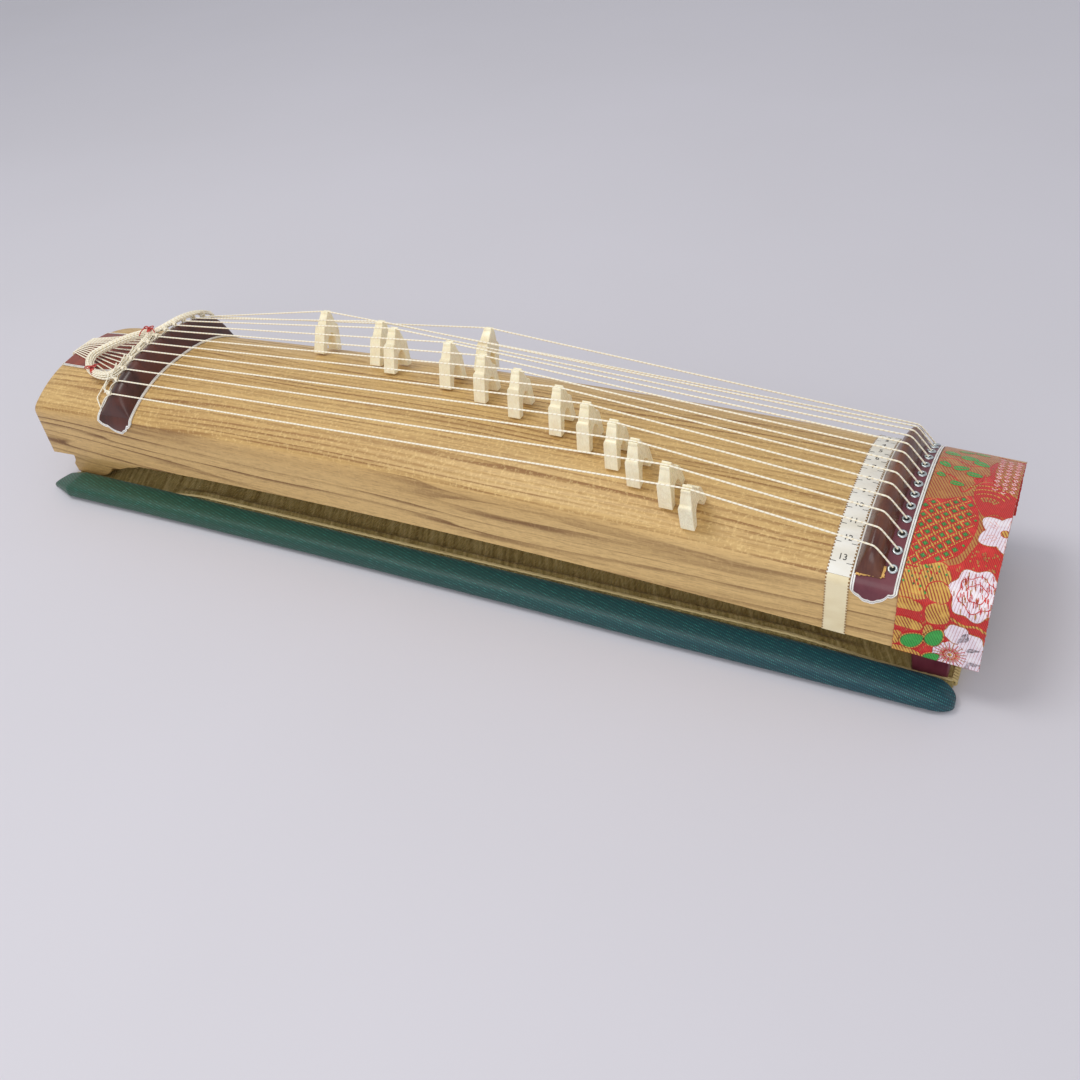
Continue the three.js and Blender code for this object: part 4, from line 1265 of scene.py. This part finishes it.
class Brocade:
    """Woven motifs on the cover: flat patches in weft colours, one level above another."""

    DIAMONDS = ((4, 0.5, GOLD), (5, 0.4, RED), (6, 0.24, OLIVE), (7, 0.11, GREEN))

    def __init__(self):
        self.shape = Shape()
        self.ground = CLEAR + COVER["thickness"]

    def put(self, outline, colour, level=1):
        """A patch, cut off at the cover's edges."""
        for axis, limit, way in ((0, COVER["tail"] + 0.15, 1), (0, COVER["head"] - 0.15, -1),
                                 (1, -skin.end + 0.4, 1), (1, skin.end - 0.4, -1)):
            outline = cut_off(outline, axis, limit, way)
        if len(outline) > 2:
            self.shape.patch(outline, self.ground - 0.05, self.ground + WEFT_RISE * level, colour, 2)

    def edged(self, outline, colour, level=1, edge=RED, width=0.55):
        """A patch with a thin outline in another colour."""
        x = sum(p[0] for p in outline) / len(outline)
        s = sum(p[1] for p in outline) / len(outline)
        grown = []
        for px, ps in outline:
            reach = math.hypot(px - x, ps - s) + 0.01
            grown.append((px + width * (px - x) / reach, ps + width * (ps - s) / reach))
        self.put(grown, edge, level)
        self.put(outline, colour, level + 1)

    def soft(self, points, colour, level=1, edge=None, count=44):
        """A patch with a smooth outline through the points."""
        outline = smooth_outline(points, count)
        if edge is None:
            self.put(outline, colour, level)
        else:
            self.edged(outline, colour, level, edge)

    def ribbon(self, points, width, colour, level):
        """A thin line through the points."""
        line = smooth_line([(x, s, 0) for x, s in points], 8 * len(points))
        sides = ([], [])
        for i, p in enumerate(line):
            way = heading_at(line, i) * width / 2
            sides[0].append((p.x - way.y, p.y + way.x))
            sides[1].append((p.x + way.y, p.y - way.x))
        self.put(sides[0] + sides[1][::-1], colour, level)

    def leaf(self, x, s, length, width, turn):
        self.edged(petal(x, s, length, width, turn), GREEN, 3, RED, 0.5)
        tip = away(x, s, turn, length * 0.85)
        self.ribbon([(x, s), ((x + tip[0]) / 2, (s + tip[1]) / 2 + 0.2), tip], 0.35, OLD_GOLD, 5)

    def blossom(self, x, s, size, turn):
        """A flower with five edged petals, slits in them, and a round heart."""
        for a in turns(5):
            a += turn
            self.edged(petal(x, s, size, size * 0.8, a), WHITE, 4, OLD_GOLD, 0.4)
            for lean in (-0.22, 0, 0.22):
                slit = [away(x, s, a + lean, reach) for reach in (size * 0.35, size * (0.9 - abs(lean)))]
                self.ribbon(slit, 0.3, PINK, 6)
        self.edged(blob(x, s, size * 0.16, count=14), GOLD, 6, RED, 0.3)

    def peony(self, x, s, size, turn):
        """A full round flower: lobes round lobes, each with short slits."""
        rough = random.Random(int(x * 7 + s))
        for level, share, lobes, edge in ((3, 1.0, 7, OLD_GOLD), (5, 0.68, 6, RED), (7, 0.36, 5, RED)):
            outline = blob(x, s, size * share, lobes, 0.09, turn + share * 2, 54)
            self.edged(outline, WHITE, level, edge, 0.4)
        for _ in range(90):
            a, far = rough.uniform(0, 6.28), size * rough.uniform(0.2, 0.92)
            px, ps = away(x, s, a, far)
            colour = RED if rough.random() < 0.6 else OLD_GOLD
            self.ribbon([(px - 0.25, ps - 1.0), (px, ps), (px + 0.15, ps + 1.1)], 0.32, colour, 9)

    def chrysanthemum(self, x, s, size, level):
        """Narrow petals all round a small heart, in two rings."""
        self.put(blob(x, s, size, 11, 0.06, 0, 66), WHITE, level)
        for ring, reach in enumerate((0.97, 0.62)):
            for k in range(22):
                a = 2 * math.pi * (k + 0.5 * ring) / 22
                line = [away(x, s, a, size * (0.2 + 0.12 * ring)), away(x, s, a, size * reach)]
                self.ribbon(line, 0.36, (RED, OLD_GOLD)[(k + ring) % 2], level + 1)
        self.put(blob(x, s, size * 0.14, count=12), GOLD, level + 2)

    def lattice(self, border, pitch, lean):
        """Green diamonds between crossing gold lines on red, inside a border."""
        self.soft(border, RED, 2, OLD_GOLD)
        inside = smooth_outline(border, 60)
        middle = (sum(p[0] for p in inside) / 60, sum(p[1] for p in inside) / 60)
        inside = [(lerp(x, middle[0], 0.03), lerp(s, middle[1], 0.03)) for x, s in inside]
        low, high = min(p[1] for p in inside), max(p[1] for p in inside)
        row, s = 0, low
        while s < high:
            for i in range(-4, 8):
                x = middle[0] + pitch * (i - 2 + 0.5 * (row % 2)) + lean * (s - low)
                if not within(inside, x, s):
                    continue
                for level, share, colour in self.DIAMONDS:
                    r = pitch * share
                    if within(inside, x - r, s) and within(inside, x + r, s):
                        self.put(diamond(x, s, r), colour, level)
            row += 1
            s += pitch / 2


def cut_off(outline, axis, limit, way):
    """The part of an outline on one side of a line."""
    kept = []
    for a, b in pairs(outline):
        inside, after = (a[axis] - limit) * way >= 0, (b[axis] - limit) * way >= 0
        if inside:
            kept.append(a)
        if inside != after:
            t = (limit - a[axis]) / (b[axis] - a[axis])
            kept.append((lerp(a[0], b[0], t), lerp(a[1], b[1], t)))
    return [p for i, p in enumerate(kept) if math.dist(p, kept[i - 1]) > 1e-4]


def within(outline, x, s):
    """Whether a place is inside an outline."""
    hits = 0
    for (x0, s0), (x1, s1) in pairs(outline):
        if (s0 > s) != (s1 > s) and x < lerp(x0, x1, (s - s0) / (s1 - s0)):
            hits += 1
    return hits % 2 == 1


def far_motifs(b):
    """Over the crest's far side: gold ground, green leaves, small blossoms and a red fan."""
    b.soft([(259, -66), (275, -70), (285, -60), (288, -45), (285, -33), (286, -22), (279, -15), (286, -6),
            (289, 6), (290, 22), (286, 36), (280, 44), (259, 46), (257, 0)], OLD_GOLD, 1, RED, 60)
    for leaf in (
            (262, -42, 8.5, 5.5, 0.35), (270, -38, 9, 6, 0.05), (277, -35, 8.5, 5.5, 0.5),
            (268, -48, 8, 4.6, -0.25), (262, -27, 7, 4.6, 0.75), (268.5, -22, 8, 4.8, -0.35),
            (275, -20, 8, 4.2, 0.15), (262, -15, 5, 3.4, 0.5), (269, -9, 7, 3.6, 0.1),
            (276, -52, 8, 4.6, 0.4)):
        b.leaf(*leaf)
    b.ribbon([(266, -16), (272, -12), (276, -3), (281, -12), (284, -22)], 0.8, RED, 3)
    b.ribbon([(261, -31), (268, -33), (276, -28), (284, -31), (286, -24)], 0.7, RED, 3)
    b.soft([(286, -50), (291, -52), (299, -48), (302, -30), (301, -8), (296, -7), (291, -12), (288, -24),
            (288, -38)], OLD_GOLD, 1, RED)
    for i in range(11):
        for j in range(3):
            x, s = 289.6 + 3.9 * j + 0.4 * (i % 2), -47.5 + 3.7 * i + 1.6 * (j % 2)
            b.edged(diamond(x, s, 1.5), PINK, 3, RED, 0.45)
            b.put(diamond(x, s, 0.5), RED, 5)
    fan = (288.5, 4)
    b.soft([(283, -13), (290, -15), (296, -10), (301, -4), (301, 12), (293, 9), (288, 12), (284, 6),
            (281, -3)], RED, 3, OLD_GOLD)
    for reach in (6, 9.2, 12.4, 15.6):
        b.ribbon([away(*fan, a, reach) for a in spread(-2.3, -0.75, 7)], 0.55, GOLD, 5)
    for a in spread(-2.2, -0.8, 5):
        b.ribbon([away(*fan, a, 3), away(*fan, a, 6)], 1.1, OLD_GOLD, 5)


def crest_motifs(b):
    """Along the front of the crest: the lattice and a large blossom at the cloth's edge."""
    b.lattice([(259, 12), (270, 5), (281, -1), (285, 9), (286.5, 22), (282, 38), (270, 46), (259, 49)],
              6.6, 0.06)
    b.soft([(287, 4), (302, 2), (302, 48), (289, 46), (285, 40), (288, 30), (289, 16)], RED, 2)
    b.blossom(299, 20.5, 13, math.pi + 0.62)
    rough = random.Random(4)
    for _ in range(34):
        x, s = rough.uniform(286.5, 299), rough.uniform(33, 44)
        b.put(diamond(x, s, 0.5, 0.7), OLD_GOLD, 4)


def near_motifs(b):
    """Down the front side: full white flowers, gold fields with red lines, and green leaves."""
    b.soft([(259, 46), (268, 47), (276, 44), (281, 50), (279, 58), (270, 63), (259, 63)], GOLD, 2, RED)
    rough = random.Random(6)
    for _ in range(46):
        x, s = rough.uniform(261, 279), rough.uniform(46, 60)
        colour = (GREEN, RED, OLIVE)[rough.randrange(3)]
        b.put(diamond(x, s, 0.55, 0.8), colour, 4)
    b.soft([(272.5, 56), (277, 53.5), (281.5, 56), (282, 61), (277, 62.5), (272.5, 61)], GOLD, 4, RED)
    b.peony(293, 55, 11.4, 0.3)
    b.ribbon([(284, 68), (290, 71), (296, 70), (301, 73)], 1.2, GOLD, 3)
    b.soft([(273.5, 65), (282, 62.5), (283.2, 71.5), (275, 74)], GOLD, 3, RED, 30)
    stones = (
        [(259, 65), (266, 63.8), (271.5, 65.5), (270.5, 69), (264, 69.6), (259, 69.5)],
        [(259, 76), (265, 74.6), (272.5, 76.5), (271.5, 80.5), (265, 81), (259, 80.2)],
        [(259, 86), (263, 84), (264.6, 88), (262.5, 92), (259, 92.5)],
        [(259, 94.5), (266, 93.2), (273.5, 95), (274, 99), (259, 99)],
        [(273.8, 77), (277, 76), (278, 80), (275.5, 86), (273.4, 88)],
    )
    for stone in stones:
        b.soft(stone, GOLD, 3, RED, 30)
    for x, s, length, width, turn in ((265, 91.5, 11.5, 7, -0.75), (276.5, 87.5, 11, 6.6, -1.15),
                                      (275.5, 98.5, 8.5, 5, -0.75)):
        b.edged(petal(*away(x, s, turn, -0.8), length + 1.6, width + 1.6, turn), GOLD, 4, RED, 0.5)
        b.edged(petal(x, s, length, width, turn), GREEN, 6, OLIVE, 0.3)
    for x, s, r in ((288, 77, 5.4), (294.5, 80.5, 5.6), (297.5, 88.5, 5.4), (291, 97, 5.2),
                    (298, 96, 4.5)):
        b.edged(blob(x, s, r, 5, 0.07, 0.4, 36), WHITE, 3, OLD_GOLD, 0.45)
    b.chrysanthemum(286.5, 90.5, 7.6, 5)


def rear_motifs(b):
    """Down the rear side: the same kinds of motif, arranged afresh."""
    b.peony(291, -78, 10.5, 1.1)
    b.chrysanthemum(270, -92, 8, 3)
    b.lattice([(259, -88), (266, -84), (276, -80), (279, -72), (272, -66), (259, -67)], 5.8, 0.02)
    b.soft([(280, -64), (288, -66), (301, -60), (301, -52), (290, -54), (282, -58)], GOLD, 2, RED)
    for leaf in ((280, -97, 9, 5.6, 0.4), (277, -88, 8, 5, -0.4), (289, -93, 9, 5.4, 0.2)):
        b.leaf(*leaf)


def brocade_motifs():
    """Short gold ticks strewn over the whole cover, and the motifs over them."""
    b = Brocade()
    rough = random.Random(8)
    for _ in range(TICKS):
        x, s = rough.uniform(COVER["tail"] + 1, COVER["head"] - 1), rough.uniform(-skin.end, skin.end)
        tick = [(x - 0.2, s - 0.8), (x + 0.2, s - 0.7), (x + 0.3, s + 0.8), (x - 0.1, s + 0.7)]
        b.put(tick, OLD_GOLD, 0.6)
    for section in (far_motifs, crest_motifs, near_motifs, rear_motifs):
        section(b)
    return b.shape


def make_cover():
    """The cloth over the head end, with a slightly frayed edge on both sides."""
    low, high = CLEAR, CLEAR + COVER["thickness"]
    rough = random.Random(3)
    across = spread(-skin.end + 0.05, skin.end - 0.05, 190)
    fray = [rough.uniform(-0.25, 0.1) for _ in across]
    xs = [COVER["tail"], COVER["tail"] + 0.4] + spread(COVER["tail"] + 2, COVER["head"] - 2, 16)
    xs += [COVER["head"] - 0.4, COVER["head"] - 0.05]
    last = len(xs) - 1
    grids = []
    for lift in (high, low):
        rows = []
        for i, x in enumerate(xs):
            push = {0: 0.5, last: 1}.get(i, 0)
            soften = 0.3 if i in (0, last) and lift == high else 0
            rows.append([skin.at(x + push * f, s, lift - soften) for s, f in zip(across, fray)])
        grids.append(rows)
    flat = [[(x, s) for s in across] for x in xs]
    obj = Shape().slab(*grids, flat=flat).build("brocade_cloth", [RED_WEFT], "koto", ["brocade_cover"],
                                                "brocade", sharp=60)
    motifs = brocade_motifs().build("brocade_motifs", WEFTS, "koto", slot="brocade")
    threads = make_loose_threads()


def make_loose_threads():
    """Short frayed threads along the cover's outer edge."""
    shape = Shape()
    rough = random.Random(12)
    for _ in range(LOOSE_THREADS):
        s = rough.uniform(-skin.end + 1, skin.end - 1)
        x = COVER["head"] - 0.3
        mark = rough.randrange(3)
        reach = rough.uniform(0.4, 1.5)
        bend = rough.uniform(-1.2, 1.2)
        path = [skin.at(x, s, CLEAR + 0.4), skin.at(x + reach * 0.3, s + bend * 0.4, CLEAR + 0.5),
                skin.at(x + reach * 0.25, s + bend, CLEAR + 0.6 + reach * 0.35)]
        shape.tube(smooth_line(path, 7), 0.09, 5, mark)
    return shape.build("brocade_threads", [RED_WEFT, OLD_GOLD_WEFT, PINK_WEFT], "koto", slot="brocade")


# ---- bridges


def bridge_outline():
    """The end view of a bridge: cap, sloping upper legs, a rounded ledge and two legs with an arch."""
    h, base, ledge = BRIDGE["height"], BRIDGE["half_base"], BRIDGE["ledge"]
    half = [(0.0, h - BRIDGE["groove"] - 0.1), (0.5, h - BRIDGE["groove"]), (0.9, h - 0.35), (1.4, h),
            (1.9, h - 0.3), (2.2, h - 1.1), (2.25, h - 2.2), (2.7, h - 2.7), (4.1, h - 5.6),
            (5.2, ledge + 0.9), (base - 3.3, ledge + 0.4), (base - 2.8, ledge - 0.4),
            (base - 2.5, ledge - 1.6), (base - 1.3, 9), (base, 1.2), (base - 0.7, 0.8),
            (base - 4.3, 0.8), (base - 4.7, 3.4), (base - 5.3, 6), (base - 6.2, 9.4),
            (2.2, 11.8), (0.0, 13.0)]
    return half + [(-y, z) for y, z in reversed(half[1:-1])]


def bridge_half_width(z):
    """Half the bridge's thickness: even in the legs, and tapering from the ledge to the cap."""
    ledge, top = BRIDGE["ledge"], BRIDGE["height"]
    share = min(max((z - ledge) / (top - ledge), 0), 1)
    leg = BRIDGE["thickness"] / 2 - 0.55 * (share > 0)
    return lerp(leg, BRIDGE["head"] / 2, share)


def make_bridges():
    outline = bridge_outline()
    for number in range(1, STRING_COUNT + 1):
        x, y, z, lean = bridge_seat(number)
        place = Matrix.Translation((x, y, z)) @ Matrix.Rotation(-math.atan(camber_slope(x)), 4, "Y")
        place = place @ Matrix.Rotation(lean, 4, "X")
        ends = [[place @ Vector((side * bridge_half_width(pz), py, pz)) for py, pz in outline]
                for side in (-1, 1)]
        node = f"bridge_{number:02d}"
        obj = Shape().prism(*ends).build(f"{node}_piece", [IVORY], node, [node], "ivory", sharp=32)
        bevelled(obj, 0.42, 3, 28)


# ---- mat


def mat_rise(x, y):
    """How far the mat's surface steps up beside a cloth edging. It stays flat under the feet."""
    between_feet = eased((x + 218) / 50) * eased((266 - x) / 60)
    return MAT_RISE * between_feet * eased((abs(y) - 41) / 6)


def make_mat():
    """Rush stems laid across, with a straw cord next to each cloth edging."""
    count = int((MAT["head"] - MAT["tail"]) / RUSH_PITCH * RUSH_SAMPLES)
    reach = EDGING["inner"] - CLEAR
    rough = random.Random(11)
    swell = [rough.uniform(0.7, 1.0) for _ in range(count // RUSH_SAMPLES + 2)]
    ys = spread(-reach, -40.5, 9) + spread(-35, 35, 5) + spread(40.5, reach, 9)
    top, bottom = [], []
    for i, x in enumerate(spread(MAT["tail"], MAT["head"], count)):
        stem = 0.8 * swell[i // RUSH_SAMPLES]
        row = []
        for y in ys:
            rib = stem * abs(math.sin(math.pi * (x + math.tan(RUSH_SLANT) * y) / RUSH_PITCH))
            row.append(Vector((x, y, MAT["thickness"] - 0.9 + rib + mat_rise(x, y))))
        top.append(row)
        bottom.append([Vector((x, y, 0)) for y in ys])
    Shape().slab(top, bottom).build("mat_rush", [RUSH], "mat", ["mat_core"], "rush", sharp=70)
    selvage = Shape()
    for side in (-1, 1):
        for lane, low in ((0.4, 0.9), (1.5, 0.6)):
            path = [(x, side * (reach - lane + 0.08 * math.sin(x * 0.9)),
                     MAT["thickness"] + low + mat_rise(x, reach) + 0.12 * math.sin(x * 1.3 + lane))
                    for x in spread(MAT["tail"] + 0.5, MAT["head"] - 0.5, 500)]
            selvage.tube(path, 0.62, 8)
    x = MAT["head"] + 0.2
    for y in spread(-reach + 2, reach - 2, 54):
        selvage.tube([(x, y, 0.6), (x + 0.9, y, 1.4), (x + 0.9, y, 3.2), (x - 1.4, y, 4.2)], 0.8, 6)
    selvage.build("mat_selvage", [STRAW], "mat", slot="rush")


def edging_section(x):
    """Where the roll is at x: its inner and outer sides, its height, and how far it is gathered."""
    inner, outer = EDGING["inner"], EDGING["inner"] + EDGING["width"]
    tip = (inner + outer) / 2 + 1.5
    from_tail, to_head = x - EDGING["tail"], EDGING["head"] - x
    sag = max(0, (x - 120) / 173) ** 1.6
    fold_in, fold_out = min(1, from_tail / 8), min(1, from_tail / 21)
    round_end = math.sqrt(max(0.0, 1 - max(0, 1 - to_head / 11) ** 2))
    slim = 1.6 * math.sin(math.pi * min(from_tail / 420, 1))
    inner, outer = lerp(tip, inner + 2.4 * sag, fold_in), lerp(tip, outer - slim, fold_out)
    middle = (inner + outer) / 2
    fold_up = lerp(0.22, 1, min(1, from_tail / 24) ** 0.6)
    tall = (EDGING["height"] - 1.6 * sag) * fold_up * lerp(0.35, 1, round_end)
    half = (outer - inner) / 2 * lerp(0.12, 1, round_end)
    return middle, max(half, 0.12), tall, max(0, 1 - to_head / 16)


def make_edging(side, name):
    """A roll of ribbed cloth along the mat: folded to a point at the tail, gathered in at the head."""
    rough = random.Random(20 + side)
    phases = [rough.uniform(0, 6.28) for _ in range(4)]
    tail, head = EDGING["tail"], EDGING["head"]
    xs = spread(tail, tail + 24, 22) + spread(tail + 27, head - 16, 150)
    xs += [head - 14 + 14 * math.sin(math.pi / 2 * i / 20) for i in range(21)]
    rings = []
    for x in xs:
        middle, half, tall, gather = edging_section(x)
        wave = 0.3 * math.sin(x * 0.045 + phases[0]) + 0.2 * math.sin(x * 0.13 + phases[1])
        ring = []
        for a in turns(36):
            y = half * math.copysign(abs(math.cos(a)) ** 0.66, math.cos(a))
            up = 0.5 + 0.5 * math.copysign(abs(math.sin(a)) ** 0.6, math.sin(a))
            pleat = 1 - 0.05 * gather * (1 + math.sin(7 * a + 0.25 * (x - head) + phases[2]))
            crease = 0.1 * math.sin(2 * a + x * 0.02 + phases[3])
            z = max(0.02, min(up * (tall - 0.35) * pleat + (wave * 0.5 + crease) * up, EDGING["height"]))
            ring.append(Vector((x, side * (middle + y * pleat * (0.985 - 0.015 * wave)), z)))
        rings.append(ring)
    obj = Shape().loft(rings).build(f"mat_edging_{name}_roll", [GREEN_CLOTH], "mat",
                                    [f"mat_edging_{name}"], "green_cloth", sharp=60)


# ---- all together

make_camera()
make_hank()
make_stage()
make_body()
make_feet()
make_plate("head_plate", HEAD_PLATE, PLUM)
make_plate("tail_plate", TAIL_PLATE, LACQUER)
make_leaf()
make_saddle("head_saddle", HEAD_SADDLE, MOTTLED)
make_saddle("tail_saddle", TAIL_SADDLE, LACQUER)
make_torn_edge()
make_eyelets()
make_tapes()
make_numbers()
make_cover()
make_bridges()
make_strings()
make_knots()
make_mat()
make_edging(-1, "front")
make_edging(1, "rear")
